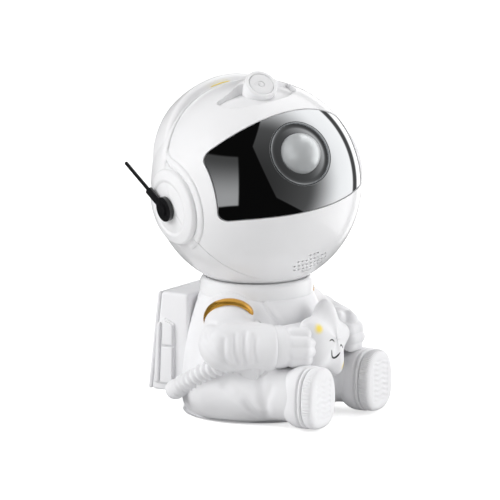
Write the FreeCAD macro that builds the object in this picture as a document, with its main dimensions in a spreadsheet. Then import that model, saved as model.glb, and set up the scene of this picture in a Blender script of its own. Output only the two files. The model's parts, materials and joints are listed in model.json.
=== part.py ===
"""Astronaut star projector: a seated figure whose round helmet holds the optics.

Millimetres, +Z up. The figure faces -Y and its left side is +X. The origin lies on
the table, under the centre of the helmet.
"""
import FreeCAD, Part
import math
import os
import re

import Sketcher
from FreeCAD import Placement, Rotation, Vector

SIZES = {
    # helmet
    "helmet_radius": 67.0, "helmet_wall": 2.4, "neck_clearance": 0.8,
    "helmet_yaw": -28.4, "helmet_pitch": 26.3, "helmet_roll": 8.9, "shell_split": -7.0,
    # visor and the outline of its opening, seen from the front
    "visor_top": 29.0, "visor_top_corner": 20.0, "visor_top_margin": 13.5,
    "visor_bottom": -36.3, "visor_bottom_corner": -22.8, "visor_bottom_margin": 11.5,
    "visor_corner_radius": 5.0, "visor_inset": 0.6, "visor_flange": 2.5,
    "visor_flange_thickness": 1.5, "panel_clearance": 0.15,
    # projection lens, barrel, nebula disc and light source
    "lens_radius": 21.5, "lens_thickness": 3.2, "barrel_wall": 2.0, "barrel_throat": 13.4,
    "barrel_depth": 20.0, "disc_gap": 2.0, "condenser_thickness": 5.0,
    "disc_radius": 24.0, "disc_thickness": 2.0, "disc_stand": 7.0, "disc_offset": 15.0,
    "spindle_radius": 2.5, "running_clearance": 0.05, "pinion_radius": 4.0,
    "mesh_clearance": 0.15, "pinion_overhang": 0.5, "motor_radius": 8.0,
    "motor_length": 16.0, "motor_shaft_radius": 1.0, "light_board_radius": 12.0,
    "light_hole_radius": 6.0, "emitter_radius": 3.0, "emitter_height": 1.25,
    "board_thickness": 1.6, "heatsink_radius": 14.0, "heatsink_length": 16.0,
    "heatsink_fin": 1.6, "heatsink_gap": 2.4, "heatsink_base": 3.2,
    "frame_thickness": 2.5, "frame_clearance": 0.3,
    # shell screws
    "screw_across": 32.0, "screw_up": 42.0, "boss_radius": 3.8, "screw_radius": 1.25,
    "screw_head_radius": 2.8, "screw_head_height": 2.0, "screw_length": 16.0,
    "head_room": 0.3, "boss_web": 4.0, "rear_boss_radius": 4.4,
    # forehead laser pod
    "pod_radius": 10.6, "pod_rise": 4.8, "pod_bearing": 47.0, "pod_elevation": 20.0,
    "pod_length": 30.0, "pod_recess_radius": 8.0, "pod_recess_depth": 2.5,
    "laser_radius": 6.5, "laser_length": 24.0, "laser_window_thickness": 1.0,
    "laser_gap": 2.0, "laser_gap_bottom": 22.5,
    # chin loudspeaker and its grille
    "grille_elevation": -67.5, "grille_half_width": 12.5, "grille_half_height": 7.0,
    "grille_hole_radius": 0.65, "grille_pitch": 3.0, "speaker_radius": 11.0,
    "speaker_depth": 5.0,
    # steel keeper that the neck magnet holds
    "keeper_thickness": 1.2, "keeper_half_angle": 24.0, "keeper_turn": 22.0,
    # headband, ear pods and antenna
    "band_inset": 4.5, "band_rise": 11.4, "band_front": -5.0, "band_back": 17.0,
    "band_fillet": 3.0, "ear_radius": 24.7, "ear_dish_radius": 17.0, "ear_face": 1.4,
    "ear_lip": 2.8, "ear_bevel": 1.2, "hub_radius": 8.0, "hub_thickness": 2.8,
    "hub_gap": 0.3, "pin_radius": 2.0, "pin_head_radius": 3.6, "pin_head_height": 1.2,
    "pin_head_gap": 0.1,
    "antenna_angle": 57.5, "antenna_reach": 48.0, "antenna_rod_radius": 1.2,
    "barrel_reach": 19.0, "antenna_barrel_radius": 2.6,
    # control board, keys and power inlet at the back of the helmet
    "board_depth": 13.4, "board_half_width": 26.0, "board_half_height": 16.0,
    "key_radius": 4.5, "key_spacing": 15.0, "key_height": 6.0, "key_proud": 1.6,
    "key_travel": 1.2, "key_clearance": 0.3, "key_flange": 1.2,
    "key_flange_thickness": 2.0, "switch_height": 3.5, "switch_width": 6.0,
    "inlet_width": 9.0, "inlet_height": 3.6, "inlet_drop": -11.0, "inlet_wall": 0.8,
    "inlet_floor": 4.0, "post_radius": 2.5,
    # trunk
    "trunk_radius": 48.0, "trunk_bulge_height": 18.0, "trunk_curve": 160.0,
    "trunk_wall": 2.5, "trunk_top": 80.6, "trunk_bottom": 1.0, "magnet_gap": 0.6,
    "deck_hole_radius": 6.0, "base_thickness": 3.0, "base_clearance": 0.3,
    "pad_inset": 12.0, "ballast_inset": 18.0, "ballast_height": 8.0,
    "base_screw_inset": 11.0, "trunk_post_height": 14.0, "post_web_radius": 2.3,
    # neck
    "collar_overhang": 0.75, "collar_rise": 7.6, "collar_wall": 4.2, "sleeve_wall": 1.4,
    "collar_curve": 2.4, "collar_bevel": 0.6, "ball_gap": 0.3, "seat_gap": 0.3,
    "seat_spindle_length": 9.0, "magnet_floor": 0.8, "neck_magnet_radius": 9.0,
    "neck_magnet_height": 2.4, "clip_radius": 9.0, "clip_height": 2.0,
    # shoulders and arms, right side; the left is its mirror image
    "shoulder_inset": 11.0, "shoulder_forward": 3.0, "shoulder_drop": 12.1,
    "elbow_outset": 4.5, "elbow_forward": 10.0, "elbow_up": 53.0,
    "wrist_inset": 8.0, "wrist_depth": 13.0, "wrist_up": 51.5,
    "hand_inset": 18.5, "hand_depth": 2.0, "hand_up": 51.0,
    "shoulder_radius": 14.4, "elbow_radius": 16.0, "wrist_radius": 14.2,
    "hand_radius": 13.6, "limb_bulge": 0.2, "hand_length": 17.0, "ring_gap": 1.0,
    "ring_width": 5.0, "ring_thickness": 1.4, "ring_tilt_across": 0.69,
    "ring_tilt_forward": 0.44, "ring_tilt_down": 0.57, "ring_offset": 3.0,
    # legs, boots and soles
    "hip_inset": 12.0, "hip_back": 6.0, "hip_radius": 20.5, "foot_inset": 13.5,
    "ankle_depth": 4.0, "ankle_radius": 18.5, "leg_axis_height": 21.5,
    "boot_half_width": 16.5, "boot_height": 41.0, "boot_length": 10.5, "boot_gap": 6.0,
    "sole_thickness": 7.5, "sole_inset": 0.8, "boot_fillet": 10.0, "tread_width": 3.0,
    "tread_depth": 1.5,
    # star toy on the lap
    "star_overlap": 2.6, "star_up": 51.7, "star_across": -6.0, "star_outer": 26.0,
    "star_inner": 17.0, "star_thickness": 19.0, "star_turn": 14.0, "star_lean": 8.0,
    "star_edge": 5.0,
    # backpack and its fittings
    "pack_half_width": 30.0, "pack_bottom": 12.5, "pack_drop": 3.6, "pack_slope": 7.5,
    "pack_depth": 16.0, "pack_overlap": 18.0, "pack_cover": 3.0,
    "pocket_gap": 0.2, "pocket_bottom": 16.0, "pocket_top": 56.0, "pocket_peak": 60.5,
    "pocket_thickness": 2.2, "pocket_slant": 2.0, "pocket_margin": 5.0,
    # corrugated hose from the backpack round to the belly, right side
    "hose_radius": 5.7, "hose_room": 0.3, "hose_bend": 0.45, "hose_pack_inset": 6.0,
    "hose_pack_up": 15.5, "hose_exit": 3.0,
    "hose_corner_inset": 3.5, "hose_corner_depth": 13.5, "hose_corner_up": 17.5,
    "hose_side_gap": 5.6, "hose_side_back": 15.0, "hose_side_up": 27.5,
    "hose_end_gap": 4.6, "hose_end_forward": 7.0, "hose_end_up": 38.5,
}

TRUNK_RIM = "trunk_radius - trunk_curve + sqrt(trunk_curve^2 - (trunk_top - trunk_bulge_height)^2)"

# Sizes and places that follow from the ones above.
FOLLOWING = {
    "collar_radius": f"{TRUNK_RIM} + collar_overhang",
    "collar_bore": "collar_radius - collar_wall",
    "collar_sleeve": "collar_bore + sleeve_wall",
    "collar_rim": "trunk_top + collar_rise",
    "collar_shoulder": "collar_rim - collar_curve",
    "helmet_height": "collar_rim + sqrt(helmet_radius^2 - (collar_bore - neck_clearance)^2)",
    "deck_height": "helmet_height - helmet_radius - magnet_gap - neck_magnet_height"
                   " - magnet_floor - seat_gap",
    "visor_top_half_width": "helmet_radius - visor_top_margin",
    "visor_bottom_half_width": "helmet_radius - visor_bottom_margin",
    "barrel_step": "barrel_depth - helmet_radius",
    "disc_front": "shell_split - disc_stand",
    "barrel_back": "disc_front - disc_gap",
    "counterbore_radius": "screw_head_radius + head_room",
    "band_radius": "helmet_radius - band_inset",
    "board_back": "helmet_radius - board_depth",
    "pad_radius": "trunk_radius - pad_inset",
    "ballast_radius": "trunk_radius - ballast_inset",
    "base_screw_circle": "trunk_radius - base_screw_inset",
    "shoulder_across": "trunk_radius - shoulder_inset",
    "shoulder_up": "trunk_top - shoulder_drop",
    "elbow_across": "trunk_radius + elbow_outset",
    "wrist_across": "trunk_radius - wrist_inset",
    "wrist_forward": "trunk_radius - wrist_depth",
    "hand_across": "trunk_radius - hand_inset",
    "hand_forward": "trunk_radius - hand_depth",
    "ring_radius": "shoulder_radius + ring_gap",
    "hip_across": "trunk_radius - hip_inset",
    "foot_across": "trunk_radius - foot_inset",
    "boot_back": "trunk_radius + boot_gap",
    "boot_forward": "boot_back + boot_length",
    "ankle_forward": "boot_back - ankle_depth",
    "star_forward": "trunk_radius - star_overlap",
    "pack_top": "trunk_top - pack_drop",
    "pack_front": "trunk_radius - pack_overlap",
    "pack_back_bottom": "trunk_radius + pack_depth",
    "pack_back_top": "pack_back_bottom - pack_slope",
    "pocket_front": "trunk_radius + pocket_gap",
    "hose_channel": "hose_radius + hose_room",
    "hose_pack_back": "trunk_radius - hose_pack_inset",
    "hose_corner_across": "trunk_radius - hose_corner_inset",
    "hose_corner_back": "trunk_radius - hose_corner_depth",
    "hose_side_across": "trunk_radius + hose_side_gap",
    "hose_end_across": "trunk_radius + hose_end_gap",
}

doc = FreeCAD.newDocument("astronaut_projector")
params = doc.addObject("Spreadsheet::Sheet", "params")
for row, (alias, number) in enumerate(SIZES.items(), start=1):
    params.set(f"A{row}", alias)
    params.set(f"B{row}", str(number))
    params.setAlias(f"B{row}", alias)
doc.recompute()

PARTS = {}
WORD = re.compile(r"\b[a-z]\w*_\w+\b")


def bound(expression):
    """The same expression with every size name read from the sheet."""
    def read(word):
        name = word.group()
        return f"({bound(FOLLOWING[name])})" if name in FOLLOWING else "params." + name
    return WORD.sub(read, expression)


def value(expression):
    return float(params.evalExpression(bound(expression)))


# ---------------------------------------------------------------- places

def direction(azimuth, elevation):
    """Unit vector in the helmet's own frame; azimuth 0 is straight ahead."""
    turn, rise = math.radians(azimuth), math.radians(elevation)
    return Vector(math.sin(turn) * math.cos(rise), -math.cos(turn) * math.cos(rise),
                  math.sin(rise))


def along(start, towards):
    """Placement at start whose Z axis points towards."""
    return Placement(start, Rotation(Vector(0, 0, 1), towards))


def at(x=0.0, y=0.0, z=0.0):
    return Placement(Vector(x, y, z), Rotation())


FIGURE = Placement()
HELMET = Placement(
    Vector(0, 0, value("helmet_height")),
    Rotation(Vector(0, 0, 1), value("helmet_yaw"))
    * Rotation(Vector(1, 0, 0), -value("helmet_pitch"))
    * Rotation(Vector(0, 1, 0), -value("helmet_roll")))
BACKWARD = Vector(0, 1, 0)


# ---------------------------------------------------------------- builders

def primitive(kind, name, place=None, **sizes):
    item = doc.addObject("Part::" + kind, name)
    for prop, expression in sizes.items():
        item.setExpression(prop, bound(expression))
    if place:
        item.Placement = place
    return item


def box(name, low, high):
    """Box between two corners, each given as three size expressions."""
    item = doc.addObject("Part::Box", name)
    for prop, start, end in zip(("Length", "Width", "Height"), low, high):
        item.setExpression(prop, bound(f"({end}) - ({start})"))
    for axis, start in zip("xyz", low):
        item.setExpression("Placement.Base." + axis, bound(start))
    return item


def cut(name, base, *tools):
    """Take each tool away from the base in turn."""
    for index, tool in enumerate(tools, 1):
        item = doc.addObject("Part::Cut", name if index == len(tools) else f"{name}_{index}")
        item.Base = base
        item.Tool = tool
        base = item
    return base


def fuse(name, base, *others):
    """Join each of the others to the base in turn."""
    for index, other in enumerate(others, 1):
        item = doc.addObject("Part::Fuse", name if index == len(others) else f"{name}_{index}")
        item.Base = base
        item.Tool = other
        item.Refine = True
        base = item
    return base


def common(name, *pieces):
    item = doc.addObject("Part::MultiCommon", name)
    item.Shapes = list(pieces)
    return item


def group(name, *pieces):
    item = doc.addObject("Part::Compound", name)
    item.Links = list(pieces)
    return item


def sub_part(item, label, frame=FIGURE):
    """Give a finished sub-part its label and its place on the object."""
    item.Label = label
    item.Placement = frame.multiply(item.Placement)
    PARTS[label] = item
    return item


def drawn(body, plane, corners, arcs=None):
    """Closed sketch through corners; arcs maps a side to the point it bulges through."""
    arcs = arcs or {}
    support = [f for f in body.Origin.OriginFeatures if f.Role == plane][0]
    sketch = body.newObject("Sketcher::SketchObject", body.Name + "_outline")
    sketch.AttachmentSupport = [(support, "")]
    sketch.MapMode = "FlatFace"
    points = [Vector(value(x), value(y), 0) for x, y in corners]
    count = len(points)
    ends = []
    for side, start in enumerate(points):
        end = points[(side + 1) % count]
        if side in arcs:
            middle = Vector(value(arcs[side][0]), value(arcs[side][1]), 0)
            anticlockwise = (end - start).cross(middle - start).z < 0
            first, last = (start, end) if anticlockwise else (end, start)
            sketch.addGeometry(Part.Arc(first, middle, last))
            ends.append((1, 2) if anticlockwise else (2, 1))
        else:
            sketch.addGeometry(Part.LineSegment(start, end))
            ends.append((1, 2))
    for side in range(count):
        after = (side + 1) % count
        sketch.addConstraint(Sketcher.Constraint(
            "Coincident", side, ends[side][1], after, ends[after][0]))

    def pin(geometry, vertex, x, y, name):
        for kind, expression, letter in (("DistanceX", x, "x"), ("DistanceY", y, "y")):
            index = sketch.addConstraint(Sketcher.Constraint(
                kind, geometry, vertex, value(expression)))
            sketch.renameConstraint(index, name + letter)
            sketch.setExpression(f"Constraints.{name}{letter}", bound(expression))

    for side, (x, y) in enumerate(corners):
        pin(side, ends[side][0], x, y, f"corner{side}")
    for side, (x, y) in arcs.items():
        bulge = sketch.addGeometry(Part.Point(Vector(value(x), value(y), 0)), True)
        pin(bulge, 1, x, y, f"bulge{side}")
        sketch.addConstraint(Sketcher.Constraint("PointOnObject", bulge, 1, side))
    return sketch


def turned(name, corners, arcs=None, plane="XZ_Plane", axis="V_Axis", angle="360"):
    """Body turned on a lathe; corners are (radius, height) expressions."""
    body = doc.addObject("PartDesign::Body", name)
    sketch = drawn(body, plane, corners, arcs)
    feature = body.newObject("PartDesign::Revolution", name + "_turn")
    feature.Profile = sketch
    feature.ReferenceAxis = (sketch, [axis])
    feature.setExpression("Angle", bound(angle))
    return body


def extruded(name, corners, length, arcs=None, plane="XZ_Plane"):
    """Body of constant outline, centred on its sketch plane."""
    body = doc.addObject("PartDesign::Body", name)
    sketch = drawn(body, plane, corners, arcs)
    feature = body.newObject("PartDesign::Pad", name + "_pad")
    feature.Profile = sketch
    feature.Midplane = True
    feature.setExpression("Length", bound(length))
    return body


def rounded(body, radius, chosen):
    """Fillet the edges of a body's last feature for which chosen(edge) is true."""
    doc.recompute()
    base = body.Tip
    names = [f"Edge{i}" for i, edge in enumerate(base.Shape.Edges, 1) if chosen(edge)]
    feature = body.newObject("PartDesign::Fillet", body.Name + "_fillet")
    feature.Base = (base, names)
    feature.setExpression("Radius", bound(radius))
    return body


def runs_along(axis):
    def chosen(edge):
        if not isinstance(edge.Curve, Part.Line):
            return False
        return abs(abs(edge.Curve.Direction.dot(axis)) - 1) < 1e-6
    return chosen


def bolt(name, place, head, shank_length):
    """Pan-head screw; its head's underside lies at the placement's origin."""
    shank = primitive("Cylinder", name + "_shank", along(Vector(0, 0, 0), Vector(0, 0, -1)),
                      Radius="screw_radius", Height=shank_length)
    cap = primitive("Cylinder", name + "_cap", Radius=head, Height="screw_head_height")
    item = fuse(name, shank, cap)
    item.Placement = place
    return item


# ---------------------------------------------------------------- helmet shells

def helmet_ball(name, inset="0"):
    return primitive("Sphere", name, Radius=f"helmet_radius - ({inset})")


def helmet_half(name, front):
    """Box that keeps the part of the helmet before or behind the split."""
    far = "2 * helmet_radius"
    low, high = (f"-({far})", "shell_split") if front else ("shell_split", far)
    return box(name, (f"-({far})", low, f"-({far})"), (far, high, far))


def visor_outline(name, grow):
    """Prism through the visor opening, grown outwards by an expression."""
    top, top_corner = f"visor_top + {grow}", f"visor_top_corner + {grow}"
    bottom, bottom_corner = f"visor_bottom - ({grow})", f"visor_bottom_corner - ({grow})"
    wide_top, wide_bottom = f"visor_top_half_width + {grow}", f"visor_bottom_half_width + {grow}"
    prism = extruded(
        name,
        [(f"-({wide_top})", top_corner), (wide_top, top_corner),
         (wide_bottom, bottom_corner), (f"-({wide_bottom})", bottom_corner)],
        "4 * helmet_radius",
        arcs={0: ("0", top), 2: ("0", bottom)})
    return rounded(prism, f"visor_corner_radius + {grow}", runs_along(Vector(0, 1, 0)))


def screw_places():
    across, up = value("screw_across"), value("screw_up")
    return [(x, z) for x in (-across, across) for z in (-up, up)]


def screw_columns(name, radius, start, length):
    """Four cylinders along +Y on the shell screws' centres."""
    columns = []
    for index, (x, z) in enumerate(screw_places(), 1):
        place = along(Vector(x, value(start), z), BACKWARD)
        columns.append(primitive("Cylinder", f"{name}_{index}", place,
                                 Radius=radius, Height=length))
    return fuse(name, *columns)


def grille_holes():
    """Staggered holes of the oval chin grille, as one cutting tool."""
    pitch, hole = value("grille_pitch"), value("grille_hole_radius")
    half_width, half_height = value("grille_half_width"), value("grille_half_height")
    reach = value("helmet_wall") * 4
    outward = direction(0, value("grille_elevation"))
    start = outward * (value("helmet_radius") - reach / 2)
    across = Vector(1, 0, 0)
    up = outward.cross(across)
    row_step = pitch * math.sqrt(3) / 2
    rows = int(half_height / row_step)
    columns = int(half_width / pitch) + 1
    holes = []
    for row in range(-rows, rows + 1):
        shift = pitch / 2 if row % 2 else 0.0
        for column in range(-columns, columns + 1):
            x, z = column * pitch + shift, row * row_step
            if (x / half_width) ** 2 + (z / half_height) ** 2 <= 1:
                centre = start + across * x + up * z
                holes.append(Part.makeCylinder(hole, reach, centre, outward))
    tool = doc.addObject("Part::Feature", "grille_holes")
    tool.Shape = Part.makeCompound(holes)
    return tool


POD_AXIS = direction(0, value("pod_elevation"))
POD_FACE = direction(0, value("pod_bearing")) * value("helmet_radius + pod_rise")


def pod_cylinder(name, radius, depth, length):
    """Cylinder on the laser pod's axis, starting a depth behind its face."""
    start = POD_FACE - POD_AXIS * (value(depth) + value(length))
    return primitive("Cylinder", name, along(start, POD_AXIS), Radius=radius, Height=length)


def helmet_front_shell():
    skin = cut("front_skin", helmet_ball("front_outer"),
               helmet_ball("front_inner", "helmet_wall"))
    half = common("front_half", skin, helmet_half("front_box", True))
    posts = common("front_posts",
                   screw_columns("front_bosses", "boss_radius", "-helmet_radius",
                                "helmet_radius + shell_split"),
                   helmet_ball("front_post_limit", "helmet_wall / 2"))
    bores = screw_columns("front_bores", "screw_radius", "shell_split - screw_length",
                         "screw_length + 1")
    laser_hole = pod_cylinder("laser_hole", "laser_radius + panel_clearance", "0",
                              "pod_length + laser_length")
    window_seat = pod_cylinder("window_seat", "pod_recess_radius", "0", "pod_recess_depth")
    shell = cut("front_shell", fuse("front_solid", half, posts),
                visor_outline("visor_opening", "0"), grille_holes(), laser_hole, window_seat,
                bores)
    return sub_part(shell, "helmet_front_shell", HELMET)


KEYS = (("nebula", -1), ("power", 0), ("star", 1))


def key_cylinder(name, position, radius, start, length):
    """Cylinder along +Y on the axis of one rear key."""
    place = along(Vector(position * value("key_spacing"), value(start), value("key_height")),
                  BACKWARD)
    return primitive("Cylinder", name, place, Radius=radius, Height=length)


def helmet_rear_shell():
    skin = cut("rear_skin", helmet_ball("rear_outer"),
               helmet_ball("rear_inner", "helmet_wall"))
    half = common("rear_half", skin, helmet_half("rear_box", False))
    limit = helmet_ball("rear_post_limit", "helmet_wall / 2")
    bosses = screw_columns("rear_bosses", "rear_boss_radius",
                          "shell_split + frame_thickness", "helmet_radius")
    board_posts = [
        primitive("Cylinder", f"board_post_{index}",
                  along(Vector(x, value("board_back"), z), BACKWARD),
                  Radius="post_radius", Height="helmet_radius - board_back")
        for index, (x, z) in enumerate(
            [(sx * (value("board_half_width") - value("post_radius")),
              sz * (value("board_half_height") - value("post_radius")))
             for sx in (-1, 1) for sz in (-1, 1)], 1)]
    inside = common("rear_posts", fuse("rear_post_set", bosses, *board_posts), limit)
    key_holes = [key_cylinder(f"{key}_hole", position, "key_radius + key_clearance",
                              "board_back", "helmet_radius")
                 for key, position in KEYS]
    inlet_slot = box("inlet_slot",
                     ("-inlet_width / 2 - panel_clearance", "board_back",
                      "inlet_drop - inlet_height / 2 - panel_clearance"),
                     ("inlet_width / 2 + panel_clearance", "2 * helmet_radius",
                      "inlet_drop + inlet_height / 2 + panel_clearance"))
    counterbores = screw_columns("rear_counterbores", "counterbore_radius",
                                "shell_split + frame_thickness + boss_web",
                                "2 * helmet_radius")
    bores = screw_columns("rear_bores", "screw_radius + panel_clearance", "shell_split",
                         "helmet_radius / 2")
    shell = cut("rear_shell", fuse("rear_solid", half, inside), *key_holes, inlet_slot,
                counterbores, bores)
    return sub_part(shell, "helmet_rear_shell", HELMET)


def shell_screws():
    seat = value("shell_split + frame_thickness + boss_web")
    screws = [bolt(f"shell_screw_{index}", along(Vector(x, seat, z), BACKWARD),
                   "screw_head_radius", "screw_length")
              for index, (x, z) in enumerate(screw_places(), 1)]
    return sub_part(group("shell_screw_set", *screws), "shell_screws", HELMET)


# ---------------------------------------------------------------- visor and optics

def axis_cylinder(name, radius, front, length):
    """Cylinder about the optical axis from y = front, backwards."""
    return primitive("Cylinder", name, along(Vector(0, value(front), 0), BACKWARD),
                     Radius=radius, Height=length)


def visor():
    panel_skin = cut("panel_skin", helmet_ball("panel_outer", "visor_inset"),
                     helmet_ball("panel_inner", "helmet_wall"))
    panel = common("visor_panel", panel_skin,
                   visor_outline("visor_edge", "(-panel_clearance)"))
    flange_skin = cut("flange_skin", helmet_ball("flange_outer", "helmet_wall"),
                      helmet_ball("flange_inner", "helmet_wall + visor_flange_thickness"))
    flange = common("visor_flange_ring", flange_skin,
                    visor_outline("flange_edge", "visor_flange"))
    solid = common("visor_front", fuse("visor_solid", panel, flange),
                   helmet_half("visor_box", True))
    hole = axis_cylinder("visor_lens_hole", "lens_radius", "-2 * helmet_radius",
                         "2 * helmet_radius")
    return sub_part(cut("visor_shape", solid, hole), "visor", HELMET)


def nebula_lens():
    skin = cut("lens_skin", helmet_ball("lens_outer", "visor_inset"),
               helmet_ball("lens_inner", "visor_inset + lens_thickness"))
    plug = axis_cylinder("lens_plug", "lens_radius - panel_clearance", "-2 * helmet_radius",
                         "2 * helmet_radius")
    return sub_part(common("lens_shape", skin, plug), "nebula_lens", HELMET)


def lens_barrel():
    """Tube behind the visor that holds the condenser lens; it narrows to the disc."""
    mouth = "lens_radius + barrel_wall"
    throat = "barrel_throat + barrel_wall"
    tube = turned("lens_tube", [
        ("lens_radius", "-helmet_radius"), (mouth, "-helmet_radius"),
        (mouth, "barrel_step"), (throat, "barrel_back"),
        ("barrel_throat", "barrel_back"), ("barrel_throat", "barrel_step + condenser_thickness"),
        ("barrel_throat + barrel_wall", "barrel_step + condenser_thickness"),
        ("barrel_throat + barrel_wall", "barrel_step"), ("lens_radius", "barrel_step")],
        plane="XY_Plane")
    limit = helmet_ball("barrel_limit", "helmet_wall + visor_flange_thickness")
    return sub_part(common("barrel_shape", tube, limit), "lens_barrel", HELMET)


def condenser_lens():
    flat_back = "barrel_step + condenser_thickness"
    lens = turned("condenser_body", [
        ("0", "barrel_step - condenser_thickness / 2"), ("barrel_throat", "barrel_step"),
        ("barrel_throat + barrel_wall - panel_clearance", "barrel_step"),
        ("barrel_throat + barrel_wall - panel_clearance", flat_back), ("0", flat_back)],
        arcs={0: ("barrel_throat * 0.5", "barrel_step - condenser_thickness * 0.375")},
        plane="XY_Plane")
    return sub_part(lens, "condenser_lens", HELMET)


DISC_AXIS = Vector(value("disc_offset"), 0, 0)
PINION_OFFSET = value("disc_radius + pinion_radius + mesh_clearance")
PINION_AXIS = DISC_AXIS + Vector(0, 0, -PINION_OFFSET)


def aligned(name, centre, radius, front, length):
    """Cylinder parallel to the optical axis through centre."""
    place = along(Vector(centre.x, value(front), centre.z), BACKWARD)
    return primitive("Cylinder", name, place, Radius=radius, Height=length)


def nebula_disc():
    disc = aligned("disc_plate", DISC_AXIS, "disc_radius", "disc_front", "disc_thickness")
    spindle = aligned("disc_spindle", DISC_AXIS, "spindle_radius",
                      "disc_front", "shell_split + frame_thickness - disc_front")
    return sub_part(fuse("disc_shape", disc, spindle), "nebula_disc", HELMET)


def motor_pinion():
    front = "disc_front - pinion_overhang"
    wheel = aligned("pinion_wheel", PINION_AXIS, "pinion_radius", front,
                    "disc_thickness + 2 * pinion_overhang")
    shaft = aligned("pinion_shaft", PINION_AXIS, "motor_shaft_radius", front,
                    "shell_split + frame_thickness - disc_front")
    return sub_part(fuse("pinion_shape", wheel, shaft), "motor_pinion", HELMET)


def disc_motor():
    motor = aligned("motor_can", PINION_AXIS, "motor_radius", "shell_split + frame_thickness",
                    "motor_length")
    bore = aligned("motor_bore", PINION_AXIS, "motor_shaft_radius + running_clearance",
                   "shell_split", "motor_length")
    return sub_part(cut("motor_shape", motor, bore), "disc_motor", HELMET)


def inner_frame():
    """Plate clamped between the shells; it carries the optics and the motor."""
    inner = math.sqrt(value("helmet_radius - helmet_wall") ** 2 - value("shell_split") ** 2)
    plate = primitive("Cylinder", "frame_plate",
                      along(Vector(0, value("shell_split"), 0), BACKWARD),
                      Radius=f"{inner} - frame_clearance", Height="frame_thickness")
    bush = aligned("spindle_hole", DISC_AXIS, "spindle_radius + running_clearance",
                   "shell_split - 1", "frame_thickness + 2")
    shaft_hole = aligned("shaft_hole", PINION_AXIS, "motor_shaft_radius + running_clearance",
                         "shell_split - 1", "frame_thickness + 2")
    light_hole = axis_cylinder("light_hole", "light_hole_radius", "shell_split - 1",
                               "frame_thickness + 2")
    screw_holes = screw_columns("frame_screw_holes", "screw_radius + panel_clearance",
                               "shell_split - 1", "frame_thickness + 2")
    laser_gap = box("laser_gap",
                    ("-laser_radius - laser_gap", "shell_split - 1", "laser_gap_bottom"),
                    ("laser_radius + laser_gap", "shell_split + frame_thickness + 1",
                     "helmet_radius"))
    frame = cut("frame_shape", plate, bush, shaft_hole, light_hole, screw_holes, laser_gap)
    return sub_part(frame, "inner_frame", HELMET)


def light_engine():
    board_front = "shell_split + frame_thickness"
    board = axis_cylinder("light_board_disc", "light_board_radius", board_front,
                          "board_thickness")
    emitter = axis_cylinder("emitter", "emitter_radius", f"{board_front} - emitter_height",
                            "emitter_height")
    sub_part(fuse("light_board_shape", board, emitter), "light_board", HELMET)
    sink = axis_cylinder("heatsink_block", "heatsink_radius",
                         f"{board_front} + board_thickness", "heatsink_length")
    slot_front = value(f"{board_front} + board_thickness + heatsink_base")
    radius, length = value("heatsink_radius"), value("heatsink_length")
    gap, pitch = value("heatsink_gap"), value("heatsink_gap + heatsink_fin")
    count = int(2 * radius / pitch)
    slots = []
    for index in range(count):
        start = (index - count / 2) * pitch + (pitch - gap) / 2
        slots.append(Part.makeBox(gap, length, 2 * radius,
                                  Vector(start, slot_front, -radius)))
    tool = doc.addObject("Part::Feature", "heatsink_slots")
    tool.Shape = Part.makeCompound(slots)
    return sub_part(cut("heatsink_shape", sink, tool), "heatsink", HELMET)


# ---------------------------------------------------------------- laser pod and chin

def laser_pod():
    housing = pod_cylinder("pod_cylinder", "pod_radius", "0", "pod_length")
    recess = pod_cylinder("pod_recess", "pod_recess_radius", "0", "pod_recess_depth")
    bore = pod_cylinder("pod_bore", "laser_radius + panel_clearance", "0", "pod_length + 1")
    pod = cut("pod_shape", housing, recess, bore, helmet_ball("pod_seat"))
    return sub_part(pod, "laser_pod", HELMET)


def laser_parts():
    window = pod_cylinder("window_disc", "pod_recess_radius - panel_clearance",
                          "pod_recess_depth - laser_window_thickness", "laser_window_thickness")
    sub_part(window, "laser_window", HELMET)
    module = pod_cylinder("laser_barrel", "laser_radius", "pod_recess_depth", "laser_length")
    return sub_part(module, "laser_module", HELMET)


def chin_parts():
    outward = direction(0, value("grille_elevation"))
    inner = value("helmet_radius - helmet_wall")
    depth = value("speaker_depth")
    rim = math.sqrt(inner ** 2 - value("speaker_radius") ** 2)
    drum = primitive("Cylinder", "speaker_drum", along(outward * (rim - depth), outward),
                     Radius="speaker_radius", Height="2 * speaker_depth")
    speaker = common("speaker_shape", drum, helmet_ball("speaker_limit", "helmet_wall"))
    sub_part(speaker, "speaker", HELMET)
    outer = "(helmet_radius - helmet_wall)"
    inner = "(helmet_radius - helmet_wall - keeper_thickness)"
    edge, middle = "keeper_half_angle", "keeper_half_angle / 2"
    plate = turned("keeper_profile", [
        ("0", outer), (f"{outer} * sin({edge})", f"{outer} * cos({edge})"),
        (f"{inner} * sin({edge})", f"{inner} * cos({edge})"), ("0", inner)],
        arcs={0: (f"{outer} * sin({middle})", f"{outer} * cos({middle})"),
              2: (f"{inner} * sin({middle})", f"{inner} * cos({middle})")})
    plate.Placement = along(Vector(0, 0, 0), direction(180, value("keeper_turn") - 90))
    return sub_part(plate, "keeper_plate", HELMET)


# ---------------------------------------------------------------- headband and ears

def headband():
    """Raised arch from ear to ear; it stands on the helmet just behind the split."""
    arch = extruded("band_arch", [
        ("-band_radius", "band_rise"), ("band_radius", "band_rise"),
        ("band_radius", "0"), ("-band_radius", "0")],
        "band_back - band_front", arcs={0: ("0", "band_rise + band_radius")})
    rounded(arch, "band_fillet", lambda edge: isinstance(edge.Curve, Part.Circle))
    arch.Placement = at(y=(value("band_front") + value("band_back")) / 2)
    ears = primitive("Cylinder", "band_ear_gap",
                     along(Vector(-2 * value("helmet_radius"), 0, 0), Vector(1, 0, 0)),
                     Radius="ear_radius + panel_clearance", Height="4 * helmet_radius")
    band = cut("band_shape", arch, helmet_ball("band_seat"), ears)
    return sub_part(band, "headband", HELMET)


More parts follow.
